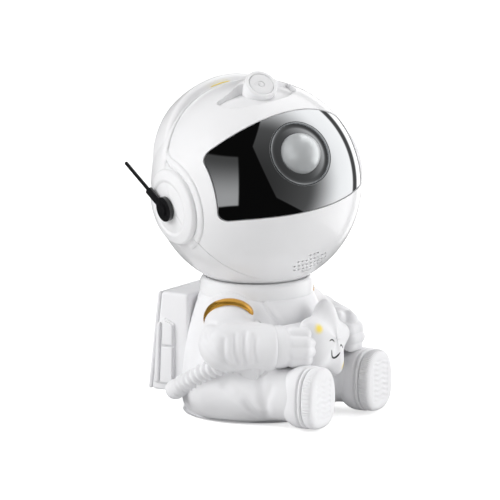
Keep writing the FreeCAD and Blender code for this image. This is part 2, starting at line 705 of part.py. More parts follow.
def ear_pod(side, label):
    """Round ear cover with a raised lip round a shallow dish."""
    face = "helmet_radius + ear_face"
    lip = "helmet_radius + ear_lip"
    pod = turned(label + "_disc", [
        ("helmet_radius / 2", "0"), (face, "0"),
        (f"sqrt(({face})^2 - ear_dish_radius^2)", "ear_dish_radius"),
        (f"sqrt(({lip})^2 - (ear_dish_radius + ear_bevel)^2)", "ear_dish_radius + ear_bevel"),
        (f"sqrt(({lip})^2 - (ear_radius - ear_bevel)^2)", "ear_radius - ear_bevel"),
        (f"sqrt(({lip})^2 - ear_radius^2) - ear_bevel", "ear_radius"),
        ("helmet_radius / 2", "ear_radius")],
        arcs={1: (f"sqrt(({face})^2 - (ear_dish_radius / 2)^2)", "ear_dish_radius / 2"),
              3: (f"sqrt(({lip})^2 - ((ear_dish_radius + ear_radius) / 2)^2)",
                  "(ear_dish_radius + ear_radius) / 2")},
        axis="H_Axis")
    tools = [helmet_ball(label + "_seat")]
    if side < 0:
        tools.append(primitive("Cylinder", label + "_pin_hole",
                               along(Vector(0, 0, 0), Vector(1, 0, 0)),
                               Radius="pin_radius", Height="2 * helmet_radius"))
    shape = cut(label + "_shape", pod, *tools)
    if side < 0:
        shape.Placement = Placement(Vector(), Rotation(Vector(0, 0, 1), 180))
    return sub_part(shape, label, HELMET)


HUB_START = value("helmet_radius + ear_face + hub_gap")
HUB_END = HUB_START + value("hub_thickness")


def on_ear(name, radius, start, end):
    """Cylinder about the ear axis on the right side, between two distances."""
    item = doc.addObject("Part::Cylinder", name)
    item.setExpression("Radius", bound(radius))
    item.Height = end - start
    item.Placement = along(Vector(-start, 0, 0), Vector(-1, 0, 0))
    return item


def antenna():
    angle = math.radians(value("antenna_angle"))
    lean = Vector(0, math.cos(angle), math.sin(angle))
    middle = Vector(-(HUB_START + HUB_END) / 2, 0, 0)
    disc = on_ear("hub_disc", "hub_radius", HUB_START, HUB_END)
    holder = primitive("Cylinder", "antenna_holder", along(middle, lean),
                       Radius="antenna_barrel_radius", Height="barrel_reach")
    slack = on_ear("hub_bore", "pin_radius + running_clearance", HUB_START - 1, HUB_END + 1)
    head_room = on_ear("pin_head_room", "pin_head_radius + hub_gap", HUB_END,
                       HUB_END + value("hub_radius"))
    socket = primitive("Cylinder", "rod_socket",
                       along(middle + lean * value("barrel_reach / 2"), lean),
                       Radius="antenna_rod_radius", Height="antenna_reach")
    ear_room = box("hub_ear_room",
                   ("-(helmet_radius + ear_face + hub_gap)", "-antenna_reach", "-antenna_reach"),
                   ("0", "antenna_reach", "antenna_reach"))
    hub = cut("hub_shape", fuse("hub_solid", disc, holder), slack, head_room, socket, ear_room)
    sub_part(hub, "antenna_hub", HELMET)
    rod = primitive("Cylinder", "rod", along(middle + lean * value("barrel_reach / 2"), lean),
                    Radius="antenna_rod_radius",
                    Height="antenna_reach - barrel_reach / 2 - antenna_rod_radius")
    tip = primitive("Sphere", "rod_tip",
                    along(middle + lean * value("antenna_reach - antenna_rod_radius"), lean),
                    Radius="antenna_rod_radius")
    sub_part(fuse("rod_shape", rod, tip), "antenna_rod", HELMET)
    head_start = HUB_END + value("pin_head_gap")
    shank = on_ear("pin_shank", "pin_radius", value("helmet_radius"), head_start)
    head = on_ear("pin_head", "pin_head_radius", head_start,
                  head_start + value("pin_head_height"))
    sub_part(fuse("pin_shape", shank, head), "antenna_pin", HELMET)
    cap = primitive("Cylinder", "left_cap",
                    along(Vector(value("helmet_radius + ear_face"), 0, 0), Vector(1, 0, 0)),
                    Radius="hub_radius", Height="hub_thickness / 2")
    return sub_part(cap, "left_ear_cap", HELMET)


# ---------------------------------------------------------------- rear controls

def control_board():
    board = box("board_panel",
                ("-board_half_width", "board_back - board_thickness", "-board_half_height"),
                ("board_half_width", "board_back", "board_half_height"))
    sub_part(group("board_set", board), "control_board", HELMET)
    switches = []
    for key, position in KEYS:
        centre = f"{position} * key_spacing"
        switches.append(box(
            f"{key}_switch",
            (f"{centre} - switch_width / 2", "board_back", "key_height - switch_width / 2"),
            (f"{centre} + switch_width / 2", "board_back + switch_height",
             "key_height + switch_width / 2")))
    sub_part(group("switch_set", *switches), "key_switches", HELMET)
    for key, position in KEYS:
        start = "board_back + switch_height + key_travel"
        cap = key_cylinder(f"{key}_cap", position, "key_radius", start,
                           f"helmet_radius + key_proud - ({start})")
        limit = helmet_ball(f"{key}_limit", "-key_proud")
        flange = key_cylinder(f"{key}_flange", position, "key_radius + key_flange", start,
                              "key_flange_thickness")
        button = fuse(f"{key}_key_shape", common(f"{key}_key", cap, limit), flange)
        sub_part(button, f"{key}_button", HELMET)
    inlet = box("inlet_block",
                ("-inlet_width / 2", "board_back", "inlet_drop - inlet_height / 2"),
                ("inlet_width / 2", "helmet_radius", "inlet_drop + inlet_height / 2"))
    mouth = box("inlet_mouth",
                ("-inlet_width / 2 + inlet_wall", "board_back + inlet_floor",
                 "inlet_drop - inlet_height / 2 + inlet_wall"),
                ("inlet_width / 2 - inlet_wall", "2 * helmet_radius",
                 "inlet_drop + inlet_height / 2 - inlet_wall"))
    limited = common("inlet_limited", inlet, helmet_ball("inlet_limit", "helmet_wall / 4"))
    return sub_part(cut("inlet_shape", limited, mouth), "power_inlet", HELMET)


# ---------------------------------------------------------------- trunk and neck

def trunk_radius_at(height):
    """Radius expression of the barrel-shaped trunk at a height expression."""
    return (f"(trunk_radius - trunk_curve"
            f" + sqrt(trunk_curve^2 - (({height}) - trunk_bulge_height)^2))")


def trunk_solid(name, shrink="0", bottom="trunk_bottom", top="trunk_top"):
    return turned(name, [
        ("0", bottom), (f"{trunk_radius_at(bottom)} - ({shrink})", bottom),
        (f"{trunk_radius_at(top)} - ({shrink})", top), ("0", top)],
        arcs={1: (f"trunk_radius - ({shrink})", "trunk_bulge_height")})


BASE_CORNERS = [(x, y) for x in (-1, 1) for y in (-1, 1)]


def base_screw_spot(x_side, y_side):
    spot = value("base_screw_circle") / math.sqrt(2)
    return Vector(x_side * spot, y_side * spot, 0)


def trunk_shell(label, side):
    """Front or rear half of the hollow trunk, with its deck and two screw posts."""
    outer = trunk_solid(label + "_outer")
    hollow = trunk_solid(label + "_hollow", "trunk_wall", "trunk_bottom - 1",
                         "deck_height - trunk_wall")
    neck = primitive("Cylinder", label + "_neck", at(z=value("deck_height")),
                     Radius="collar_sleeve", Height="trunk_top")
    spindle = primitive("Cylinder", label + "_spindle_hole",
                        Radius="deck_hole_radius + running_clearance", Height="trunk_top")
    skin = cut(label + "_skin", outer, hollow, neck, spindle)
    posts, bores = [], []
    for x_side in (-1, 1):
        foot = base_screw_spot(x_side, side)
        base_top = Vector(0, 0, value("trunk_bottom + base_thickness"))
        name = f"{label}_{'left' if x_side > 0 else 'right'}"
        posts.append(primitive("Cylinder", name + "_post", Placement(foot + base_top, Rotation()),
                               Radius="boss_radius", Height="trunk_post_height"))
        start = foot + base_top + Vector(0, 0, value("boss_radius"))
        posts.append(primitive("Cylinder", name + "_web", along(start, foot),
                               Radius="post_web_radius",
                               Height="trunk_radius - base_screw_circle"))
        bores.append(primitive("Cylinder", name + "_bore", Placement(foot, Rotation()),
                               Radius="screw_radius",
                               Height="base_thickness + trunk_post_height"))
    inside = common(label + "_inside", fuse(label + "_post_set", *posts),
                    trunk_solid(label + "_limit", "trunk_wall / 2"))
    far = "2 * trunk_radius"
    low, high = (f"-({far})", "0") if side < 0 else ("0", far)
    half = box(label + "_half", (f"-({far})", low, "0"), (far, high, far))
    kept = common(label + "_kept", fuse(label + "_whole", skin, inside), half)
    return sub_part(cut(label + "_shape", kept, *bores), label)


def base_parts():
    rim = "trunk_bottom"
    plate = primitive("Cylinder", "base_disc", at(z=value("trunk_bottom")),
                      Radius=f"{trunk_radius_at(rim)} - trunk_wall - base_clearance",
                      Height="base_thickness")
    holes, screws = [], []
    seat = value("trunk_bottom + screw_head_height")
    for index, (x_side, y_side) in enumerate(BASE_CORNERS, 1):
        foot = base_screw_spot(x_side, y_side)
        holes.append(primitive("Cylinder", f"base_hole_{index}", Placement(foot, Rotation()),
                               Radius="screw_radius + panel_clearance", Height="trunk_top"))
        holes.append(primitive("Cylinder", f"base_sink_{index}", Placement(foot, Rotation()),
                               Radius="counterbore_radius",
                               Height="trunk_bottom + screw_head_height"))
        screws.append(bolt(f"base_screw_{index}",
                           along(foot + Vector(0, 0, seat), Vector(0, 0, -1)),
                           "screw_head_radius", "trunk_post_height - screw_head_height"))
    sub_part(cut("base_shape", plate, *holes), "base_plate")
    sub_part(group("base_screw_set", *screws), "base_screws")
    pad = primitive("Cylinder", "pad_disc", Radius="pad_radius", Height="trunk_bottom")
    sub_part(pad, "anti_slip_pad")
    weight = primitive("Cylinder", "ballast_disc", at(z=value("trunk_bottom + base_thickness")),
                       Radius="ballast_radius", Height="ballast_height")
    return sub_part(weight, "ballast_weight")


def neck_parts():
    """Collar on the trunk; inside it a turning seat with the magnet that holds the head."""
    collar = turned("collar_profile", [
        ("collar_bore", "deck_height"), ("collar_sleeve", "deck_height"),
        ("collar_sleeve", "trunk_top"), ("collar_radius", "trunk_top"),
        ("collar_radius", "collar_shoulder"),
        ("collar_sleeve + collar_bevel", "collar_rim"), ("collar_bore", "collar_rim")],
        arcs={4: ("collar_radius - collar_bevel",
                  "(collar_shoulder + collar_rim + 2 * collar_bevel) / 2")})
    sub_part(collar, "collar_ring")
    ball = primitive("Sphere", "seat_ball", at(z=value("helmet_height")),
                     Radius="helmet_radius + ball_gap")
    bottom = "deck_height + seat_gap"
    drum = primitive("Cylinder", "seat_drum", at(z=value(bottom)),
                     Radius="collar_bore - seat_gap", Height=f"collar_rim - ({bottom})")
    spindle = primitive("Cylinder", "seat_spindle",
                        at(z=value("deck_height - seat_spindle_length")),
                        Radius="deck_hole_radius", Height="seat_spindle_length + seat_gap")
    floor = value(f"{bottom} + magnet_floor")
    pocket = primitive("Cylinder", "magnet_pocket", at(z=floor),
                       Radius="neck_magnet_radius + panel_clearance", Height="trunk_radius")
    sub_part(cut("seat_shape", fuse("seat_solid", drum, spindle), ball, pocket), "neck_seat")
    magnet = primitive("Cylinder", "magnet_disc", at(z=floor), Radius="neck_magnet_radius",
                       Height="neck_magnet_height")
    sub_part(magnet, "neck_magnet")
    clip_top = "deck_height - trunk_wall - seat_gap"
    clip = cut("clip_shape",
               primitive("Cylinder", "clip_disc", at(z=value(f"{clip_top} - clip_height")),
                         Radius="clip_radius", Height="clip_height"),
               primitive("Cylinder", "clip_bore", Radius="deck_hole_radius",
                         Height="trunk_top"))
    return sub_part(clip, "spindle_clip")


# ---------------------------------------------------------------- limbs

def tapered(name, start, end, start_radius, end_radius):
    """Cone from start to end with a slightly fuller ball on each end."""
    cone = primitive("Cone", name + "_cone", along(start, end - start),
                     Radius1=start_radius, Radius2=end_radius)
    cone.Height = start.distanceToPoint(end)
    first = primitive("Sphere", name + "_first", Placement(start, Rotation()),
                      Radius=f"{start_radius} + limb_bulge")
    last = primitive("Sphere", name + "_last", Placement(end, Rotation()),
                     Radius=f"{end_radius} + limb_bulge")
    return [cone, first, last]


def spot(side, name):
    """Point on one side of the figure from its three named sizes."""
    behind = name + "_back" in SIZES or name + "_back" in FOLLOWING
    depth = value(name + "_back") if behind else -value(name + "_forward")
    return Vector(side * value(name + "_across"), depth, value(name + "_up"))


def ring_frame(side):
    """Place and direction of a shoulder ring: out, forward and down from the trunk."""
    outward = Vector(side * value("ring_tilt_across"), -value("ring_tilt_forward"),
                     -value("ring_tilt_down")).normalize()
    return spot(side, "shoulder") - outward * value("ring_offset"), outward


def arm(side, label, leg_part):
    shoulder, elbow, wrist = (spot(side, joint) for joint in ("shoulder", "elbow", "wrist"))
    pieces = tapered(label + "_upper", shoulder, elbow, "shoulder_radius", "elbow_radius")
    pieces += tapered(label + "_lower", elbow, wrist, "elbow_radius", "wrist_radius")[::2]
    shape = cut(label + "_shape", fuse(label + "_solid", *pieces),
                trunk_solid(label + "_trunk"), collar_room(label + "_collar"), leg_part,
                hose_tube(label + "_hose_channel", side, "hose_channel"))
    return sub_part(shape, label)


def collar_room(name):
    return primitive("Cylinder", name, Radius="collar_radius + base_clearance",
                     Height="2 * trunk_top")


def shoulder_ring(side, label):
    centre, outward = ring_frame(side)
    half = value("ring_width") / 2
    place = along(centre - outward * half, outward)
    outer = primitive("Cylinder", label + "_outer", place,
                      Radius="ring_radius + ring_thickness / 2", Height="ring_width")
    shoulder, elbow = spot(side, "shoulder"), spot(side, "elbow")
    inner = tapered(label + "_inner", shoulder, elbow, "shoulder_radius", "elbow_radius")
    tools = inner + [trunk_solid(label + "_trunk"), collar_room(label + "_collar")]
    return sub_part(cut(label + "_shape", outer, *tools), label)


def glove(side, label, neighbours):
    wrist, hand = spot(side, "wrist"), spot(side, "hand")
    fist = primitive("Ellipsoid", label + "_fist", along(hand, hand - wrist),
                     Radius1="hand_length", Radius2="hand_radius", Radius3="hand_radius")
    shape = cut(label + "_shape", fist, trunk_solid(label + "_trunk"), *neighbours)
    return sub_part(shape, label)


def floor_box(name):
    """Block under the figure's lower edge that flattens the seated limbs."""
    far = "4 * trunk_radius"
    return box(name, (f"-({far})", f"-({far})", f"-({far})"), (far, far, "trunk_bottom"))


def leg(side, label):
    hip = Vector(side * value("hip_across"), value("hip_back"), value("leg_axis_height"))
    ankle = Vector(side * value("foot_across"), -value("ankle_forward"),
                   value("leg_axis_height"))
    pieces = tapered(label + "_limb", hip, ankle, "hip_radius", "ankle_radius")
    ahead = box(label + "_ahead", ("-2 * trunk_radius", "-4 * trunk_radius", "0"),
                ("2 * trunk_radius", "-boot_back", "2 * trunk_radius"))
    near, far = ("0", "2 * trunk_radius") if side < 0 else ("-2 * trunk_radius", "0")
    other = box(label + "_other", (near, "-4 * trunk_radius", "0"),
                (far, "4 * trunk_radius", "2 * trunk_radius"))
    shape = cut(label + "_shape", fuse(label + "_solid", *pieces),
                trunk_solid(label + "_trunk"), floor_box(label + "_floor"), ahead, other,
                hose_tube(label + "_hose_channel", side, "hose_channel"))
    return sub_part(shape, label)


def foot_block(name, side, back, front, inset="0"):
    """Rounded block of the foot between two distances ahead of the figure."""
    half, top = f"boot_half_width - {inset}", f"boot_height - {inset}"
    block = extruded(name, [
        (f"-({half})", "trunk_bottom"), (half, "trunk_bottom"), (half, top),
        (f"-({half})", top)], f"({front}) - ({back})")
    rounded(block, f"boot_fillet - {inset}", runs_along(Vector(0, 1, 0)))
    block.Placement = at(side * value("foot_across"),
                         -value(f"(({front}) + ({back})) / 2"))
    return block


def boot(side, name):
    upper = foot_block(f"{name}_boot_block", side, "boot_back", "boot_forward")
    sub_part(group(f"{name}_boot_shape", upper), f"{name}_boot")
    slab = foot_block(f"{name}_sole_block", side, "boot_forward",
                      "boot_forward + sole_thickness", "sole_inset")
    front = value("boot_forward + sole_thickness")
    depth, width = value("tread_depth"), value("tread_width")
    low, high = value("trunk_bottom"), value("boot_height")
    centre = side * value("foot_across")
    half = value("boot_half_width")
    grooves = []
    level = low + 2 * width
    while level + width < high - width:
        grooves.append(Part.makeBox(2 * half, depth + 1, width,
                                    Vector(centre - half, -front - 1, level)))
        level += 2 * width
    tool = doc.addObject("Part::Feature", f"{name}_tread")
    tool.Shape = Part.makeCompound(grooves)
    sub_part(cut(f"{name}_sole_shape", slab, tool), f"{name}_sole")
    return upper


# ---------------------------------------------------------------- star toy

def star_toy(neighbours):
    """Cushioned five-pointed star held upright between the gloves."""
    outer, inner = value("star_outer"), value("star_inner")
    corners = []
    for index in range(10):
        radius = outer if index % 2 == 0 else inner
        angle = math.radians(90 + 36 * index)
        corners.append(Vector(radius * math.cos(angle), radius * math.sin(angle), 0))
    outline = Part.makePolygon(corners + corners[:1])
    thickness = value("star_thickness")
    prism = Part.Face(outline).extrude(Vector(0, 0, thickness))
    star = doc.addObject("Part::Feature", "star_cushion")
    star.Shape = prism.makeFillet(value("star_edge"), prism.Edges)
    star.Placement = Placement(
        Vector(value("star_across"), -value("star_forward"), value("star_up")),
        Rotation(Vector(1, 0, 0), 90 - value("star_lean"))
        * Rotation(Vector(0, 0, 1), -value("star_turn")))
    return sub_part(cut("star_shape", star, *neighbours), "star_toy")


# ---------------------------------------------------------------- backpack and hose

def pack_back_at(height):
    """How far back the leaning rear face is, at a height expression."""
    return (f"(pack_back_bottom + (pack_back_top - pack_back_bottom)"
            f" * (({height}) - pack_bottom) / (pack_top - pack_bottom))")


def backpack():
    split_bottom, split_top = "pack_back_bottom - pack_cover", "pack_back_top - pack_cover"
    body = extruded("pack_block", [
        ("pack_front", "pack_bottom"), (split_bottom, "pack_bottom"),
        (split_top, "pack_top"), ("pack_front", "pack_top")],
        "2 * pack_half_width", plane="YZ_Plane")
    sub_part(cut("pack_shape", body, trunk_solid("pack_trunk")), "backpack_body")
    cover = extruded("cover_plate", [
        (split_bottom, "pack_bottom"), ("pack_back_bottom", "pack_bottom"),
        ("pack_back_top", "pack_top"), (split_top, "pack_top")],
        "2 * pack_half_width", plane="YZ_Plane")
    return sub_part(cover, "backpack_cover")


def side_pocket(side, label):
    """Raised panel with a peaked top on the side of the backpack."""
    low_back = f"{pack_back_at('pocket_bottom')} - pack_cover - pocket_margin"
    top_back = f"{pack_back_at('pocket_top')} - pack_cover - pocket_margin"
    panel = extruded(label + "_panel", [
        ("pocket_front", "pocket_bottom"), (low_back, "pocket_bottom"),
        (top_back, "pocket_top"), ("(pocket_front + pack_back_top - pack_cover) / 2",
                                   "pocket_peak"),
        ("pocket_front - pocket_slant", "pocket_top")],
        "pocket_thickness", plane="YZ_Plane")
    panel.Placement = at(side * (value("pack_half_width") + value("pocket_thickness") / 2))
    return sub_part(panel, label)


def hose_tube(name, side, radius):
    """Tube from the side of the backpack round the trunk to under the elbow."""
    pack = Vector(side * value("pack_half_width"), value("hose_pack_back"),
                  value("hose_pack_up"))
    points = [pack, pack + Vector(side * value("hose_exit"), 0, 0),
              spot(side, "hose_corner"), spot(side, "hose_side"), spot(side, "hose_end")]
    edges, start = [], points[0]
    for before, corner, after in zip(points, points[1:], points[2:]):
        arrive, leave = (corner - before).normalize(), (after - corner).normalize()
        half_turn = arrive.getAngle(leave) / 2
        run = min(corner.distanceToPoint(before), corner.distanceToPoint(after))
        setback = value("hose_bend") * run
        enter, exit_ = corner - arrive * setback, corner + leave * setback
        bend = setback / math.tan(half_turn) if half_turn else 0
        middle_way = (leave - arrive).normalize()
        centre = corner + middle_way * (bend / math.cos(half_turn))
        edges.append(Part.LineSegment(start, enter).toShape())
        edges.append(Part.Arc(enter, centre - middle_way * bend, exit_).toShape())
        start = exit_
    edges.append(Part.LineSegment(start, points[-1]).toShape())
    path = Part.Wire(edges)
    ring = Part.Wire([Part.makeCircle(value(radius), points[0],
                                      (points[1] - points[0]).normalize())])
    tube = doc.addObject("Part::Feature", name)
    tube.Shape = path.makePipeShell([ring], True, False)
    return tube


# ---------------------------------------------------------------- the whole object

helmet_front_shell()
helmet_rear_shell()
shell_screws()
visor()
nebula_lens()
lens_barrel()
condenser_lens()
nebula_disc()
motor_pinion()
disc_motor()
inner_frame()
light_engine()
laser_pod()
laser_parts()
chin_parts()
headband()
ear_pod(-1, "right_ear_pod")
ear_pod(1, "left_ear_pod")
antenna()
control_board()
trunk_shell("trunk_front_shell", -1)
trunk_shell("trunk_rear_shell", 1)
base_parts()
neck_parts()
ROUND_THE_STAR = []
for side_sign, side_name in ((-1, "right"), (1, "left")):
    leg_item = leg(side_sign, f"{side_name}_leg")
    boot_item = boot(side_sign, side_name)
    arm_item = arm(side_sign, f"{side_name}_arm", leg_item)
    shoulder_ring(side_sign, f"{side_name}_shoulder_ring")
    glove_item = glove(side_sign, f"{side_name}_glove", [arm_item, leg_item, boot_item])
    ROUND_THE_STAR += [arm_item, glove_item, leg_item, boot_item]
    side_pocket(side_sign, f"{side_name}_side_pocket")
    sub_part(hose_tube(f"{side_name}_hose_tube", side_sign, "hose_radius"),
             f"{side_name}_hose")
backpack()
star_toy(ROUND_THE_STAR)
doc.recompute()

for item in doc.Objects:
    if {"Invalid", "Error"} & set(item.State):
        raise RuntimeError(f"{item.Name} did not build: {item.State}")
for label, item in PARTS.items():
    if item.Shape.isNull() or not item.Shape.isValid() or not item.Shape.Solids:
        raise RuntimeError(f"{label} has no valid solid")

os.makedirs("parts", exist_ok=True)
for label, item in PARTS.items():
    item.Shape.exportStep(f"parts/{label}.step")
print(len(PARTS), "sub-parts")
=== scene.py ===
"""Astronaut star projector: the look of every sub-part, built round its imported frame.

Mesh code works in millimetres, +Z up; the figure faces -Y and its left side is +X.
Pieces of the helmet are made in the helmet's own frame and then set in place.
"""
import json
import math

import bmesh
import bpy
import numpy as np
from bpy.props import FloatProperty, FloatVectorProperty, IntProperty, PointerProperty
from mathutils import Matrix, Vector

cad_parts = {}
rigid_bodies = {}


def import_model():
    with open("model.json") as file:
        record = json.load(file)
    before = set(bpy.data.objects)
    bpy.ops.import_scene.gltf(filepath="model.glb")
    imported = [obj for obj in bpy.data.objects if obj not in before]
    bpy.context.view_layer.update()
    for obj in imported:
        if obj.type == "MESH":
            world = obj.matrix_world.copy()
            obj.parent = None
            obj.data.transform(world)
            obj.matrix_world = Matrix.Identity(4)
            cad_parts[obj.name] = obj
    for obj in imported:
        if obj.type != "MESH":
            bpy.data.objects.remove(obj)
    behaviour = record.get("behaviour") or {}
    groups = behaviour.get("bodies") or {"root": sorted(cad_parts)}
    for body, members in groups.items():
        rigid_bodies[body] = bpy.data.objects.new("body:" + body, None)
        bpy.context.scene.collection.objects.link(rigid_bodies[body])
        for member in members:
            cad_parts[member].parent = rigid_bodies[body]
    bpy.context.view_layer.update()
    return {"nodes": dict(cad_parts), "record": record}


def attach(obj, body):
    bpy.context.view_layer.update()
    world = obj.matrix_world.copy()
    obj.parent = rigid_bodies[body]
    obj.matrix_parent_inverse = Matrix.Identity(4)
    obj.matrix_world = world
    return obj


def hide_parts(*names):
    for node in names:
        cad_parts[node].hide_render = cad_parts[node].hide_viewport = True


bl_info = {
    "name": "Astronaut Star Projector",
    "version": (1, 0, 0),
    "blender": (4, 5, 0),
    "location": "View3D > Sidebar > Projector",
    "description": "Dresses the astronaut star projector, piece by piece",
    "category": "Object",
}

for leftover in list(bpy.data.objects):
    bpy.data.objects.remove(leftover)
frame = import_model()

MM = 0.001
YAW, PITCH, ROLL = math.radians(-28.4), math.radians(26.3), math.radians(8.9)
HELMET = (Matrix.Translation((0, 0, 147.6)) @ Matrix.Rotation(YAW, 4, "Z")
          @ Matrix.Rotation(-PITCH, 4, "X") @ Matrix.Rotation(-ROLL, 4, "Y"))
FIGURE = Matrix.Identity(4)
MIRROR = Matrix.Diagonal((-1, 1, 1, 1))
AHEAD = Matrix.Rotation(math.radians(90), 4, "X")
WELD = 0.004


def length_size(name, text, default):
    return FloatProperty(name=name, description=text, default=default * MM, unit="LENGTH",
                         min=0.0, precision=4)


def colour(name, text, default):
    return FloatVectorProperty(name=name, description=text, default=default, size=3,
                               subtype="COLOR", min=0.0, max=1.0)


class ProjectorSizes(bpy.types.PropertyGroup):
    helmet_radius: length_size("Helmet radius", "Radius of the globe helmet", 67.0)
    helmet_wall: length_size("Helmet wall", "Thickness of the helmet shells", 2.4)
    ridge_height: length_size("Ridge height", "Step round the headband and ears", 0.9)
    ridge_width: length_size("Ridge width", "Width of that step round the ears", 4.6)
    ear_radius: length_size("Ear radius", "Radius of the ear covers", 24.7)
    lens_radius: length_size("Lens radius", "Radius of the lens hole in the visor", 21.5)
    hose_radius: length_size("Hose radius", "Outer radius of the corrugated hose", 6.2)
    hose_depth: length_size("Corrugation depth", "Depth of the hose's grooves", 1.6)
    fold_depth: FloatProperty(name="Fold depth", description="How deep the suit's folds are",
                              default=1.0, min=0.0, max=2.0)
    hose_rings: IntProperty(name="Hose rings", description="Corrugations of each hose",
                            default=18, min=4, max=40)
    sole_ribs: IntProperty(name="Sole ribs", description="Fine ribs round each sole",
                           default=72, min=12, max=160)


class ProjectorColours(bpy.types.PropertyGroup):
    shell_white: colour("Shell white", "Glossy helmet shells", (0.83, 0.83, 0.84))
    suit_white: colour("Suit white", "Satin suit mouldings", (0.83, 0.83, 0.845))
    visor_tint: colour("Visor tint", "Mirror tint of the smoked visor", (0.5, 0.51, 0.52))
    lens_tint: colour("Lens tint", "Coated projection lens", (0.62, 0.64, 0.65))
    dish_tint: colour("Dish tint", "Dish round the projection lens", (0.42, 0.43, 0.44))
    gold: colour("Gold", "Lacquer of the shoulder rings", (0.83, 0.44, 0.06))
    blush: colour("Blush", "Sprayed tips of the star toy", (0.95, 0.74, 0.10))
    key_grey: colour("Key grey", "Rear keys", (0.52, 0.54, 0.57))


def size(name):
    """One of the sizes, in millimetres."""
    return getattr(bpy.context.scene.projector_sizes, name) / MM


def tint(name):
    return tuple(getattr(bpy.context.scene.projector_colours, name))


# ---------------------------------------------------------------- mesh helpers

def sheet(columns, rows, place):
    """Grid bent into shape: place(u, v) gives points for u and v from 0 to 1."""
    bm = bmesh.new()
    bmesh.ops.create_grid(bm, x_segments=columns, y_segments=rows, size=0.5)
    flat = np.array([vert.co[:2] for vert in bm.verts]) + 0.5
    for vert, spot in zip(bm.verts, place(flat[:, 0], flat[:, 1])):
        vert.co = spot
    bmesh.ops.remove_doubles(bm, verts=bm.verts, dist=WELD)
    bmesh.ops.recalc_face_normals(bm, faces=bm.faces)
    return bm


def lathe(profile, steps, place=FIGURE, ring=False):
    """Shape turned about Z from (radius, height) corners.

    The profile starts and ends on Z, or with ring it is a loop that closes on itself.
    """
    bm = bmesh.new()
    verts = [bm.verts.new((radius, 0.0, height)) for radius, height in profile]
    ends = verts[1:] + verts[:1] if ring else verts[1:]
    edges = [bm.edges.new(pair) for pair in zip(verts, ends)]
    bmesh.ops.spin(bm, geom=verts + edges, cent=(0, 0, 0), axis=(0, 0, 1),
                   angle=math.tau, steps=steps, use_merge=True)
    bmesh.ops.remove_doubles(bm, verts=bm.verts, dist=WELD)
    bmesh.ops.recalc_face_normals(bm, faces=bm.faces)
    bmesh.ops.transform(bm, matrix=place, verts=bm.verts)
    return bm


def rounded_profile(corners, radius, steps=4):
    """The same corners with each inner one rounded."""
    points = [Vector(corner) for corner in corners]
    out = [points[0]]
    for before, corner, after in zip(points, points[1:], points[2:]):
        back, ahead = before - corner, after - corner
        cut = min(radius, back.length * 0.49, ahead.length * 0.49)
        start, end = corner + back.normalized() * cut, corner + ahead.normalized() * cut
        for index in range(steps + 1):
            t = index / steps
            out.append(start.lerp(corner, t).lerp(corner.lerp(end, t), t))
    out.append(points[-1])
    return [tuple(point) for point in out]


def block(low, high, bevel, segments=4):
    """Box between two corners with rounded edges."""
    bm = bmesh.new()
    low, high = Vector(low), Vector(high)
    matrix = Matrix.Translation((low + high) / 2) @ Matrix.Diagonal((*(high - low), 1))
    bmesh.ops.create_cube(bm, size=1.0, matrix=matrix)
    round_edges(bm, bm.edges[:], bevel, segments)
    return bm


def round_edges(bm, edges, offset, segments):
    bmesh.ops.bevel(bm, geom=edges, offset=offset, offset_type="OFFSET", affect="EDGES",
                    segments=segments, profile=0.5, material=-1, clamp_overlap=True)


def join(bm, *others):
    """Add other meshes to this one."""
    for other in others:
        mesh = bpy.data.meshes.new("joined")
        other.to_mesh(mesh)
        other.free()
        bm.from_mesh(mesh)
        bpy.data.meshes.remove(mesh)
    return bm


def placed(bm, matrix):
    bmesh.ops.transform(bm, matrix=matrix, verts=bm.verts)
    if matrix.determinant() < 0:
        bmesh.ops.reverse_faces(bm, faces=bm.faces)
    return bm


def pointing(start, towards):
    """Matrix that puts Z along a direction, at a start point."""
    turn = Vector(towards).to_track_quat("Z", "Y").to_matrix().to_4x4()
    return Matrix.Translation(start) @ turn


def cut_from(bm, cutter):
    """Take a closed cutter away from a closed mesh."""
    names = []
    for index, source in enumerate((bm, cutter)):
        mesh = bpy.data.meshes.new(f"cut_{index}")
        source.to_mesh(mesh)
        source.free()
        item = bpy.data.objects.new(f"cut_{index}", mesh)
        bpy.context.scene.collection.objects.link(item)
        names.append(item)
    body, tool = names
    modifier = body.modifiers.new("cut", "BOOLEAN")
    modifier.operation = "DIFFERENCE"
    modifier.solver = "EXACT"
    modifier.object = tool
    result = bmesh.new()
    result.from_mesh(evaluated(body))
    for item in names:
        mesh = item.data
        bpy.data.objects.remove(item)
        bpy.data.meshes.remove(mesh)
    return result


def evaluated(item):
    """Mesh of an object with its modifiers applied."""
    graph = bpy.context.evaluated_depsgraph_get()
    return bpy.data.meshes.new_from_object(item.evaluated_get(graph))


def finish(name, bm, body, slot, replaces=(), place=FIGURE, sharp=38.0, look=None):
    """Make a piece from a millimetre mesh, give it its slot's finish and let it ride.

    A look names another slot's finish where the piece doesn't show its own.
    """
    placed(bm, Matrix.Scale(MM, 4) @ place)
    mesh = bpy.data.meshes.new(name)
    bm.to_mesh(mesh)
    bm.free()
    mesh.polygons.foreach_set("use_smooth", [True] * len(mesh.polygons))
    mesh.set_sharp_from_angle(angle=math.radians(sharp))
    item = bpy.data.objects.new(name, mesh)
    bpy.context.scene.collection.objects.link(item)
    mesh.materials.append(FINISHES[look or slot])
    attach(item, body)
    if replaces:
        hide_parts(*replaces)
    return item


# ---------------------------------------------------------------- distance fields
# Each takes an array of points and gives how far outside a form each one is.

def smooth_min(a, b, reach):
    overlap = np.maximum(reach - np.abs(a - b), 0.0) / reach
    return np.minimum(a, b) - overlap * overlap * reach / 4


def smooth_max(a, b, reach):
    return -smooth_min(-a, -b, reach)


def smooth_step(value, low, high):
    t = np.clip((value - low) / (high - low), 0.0, 1.0)
    return t * t * (3 - 2 * t)


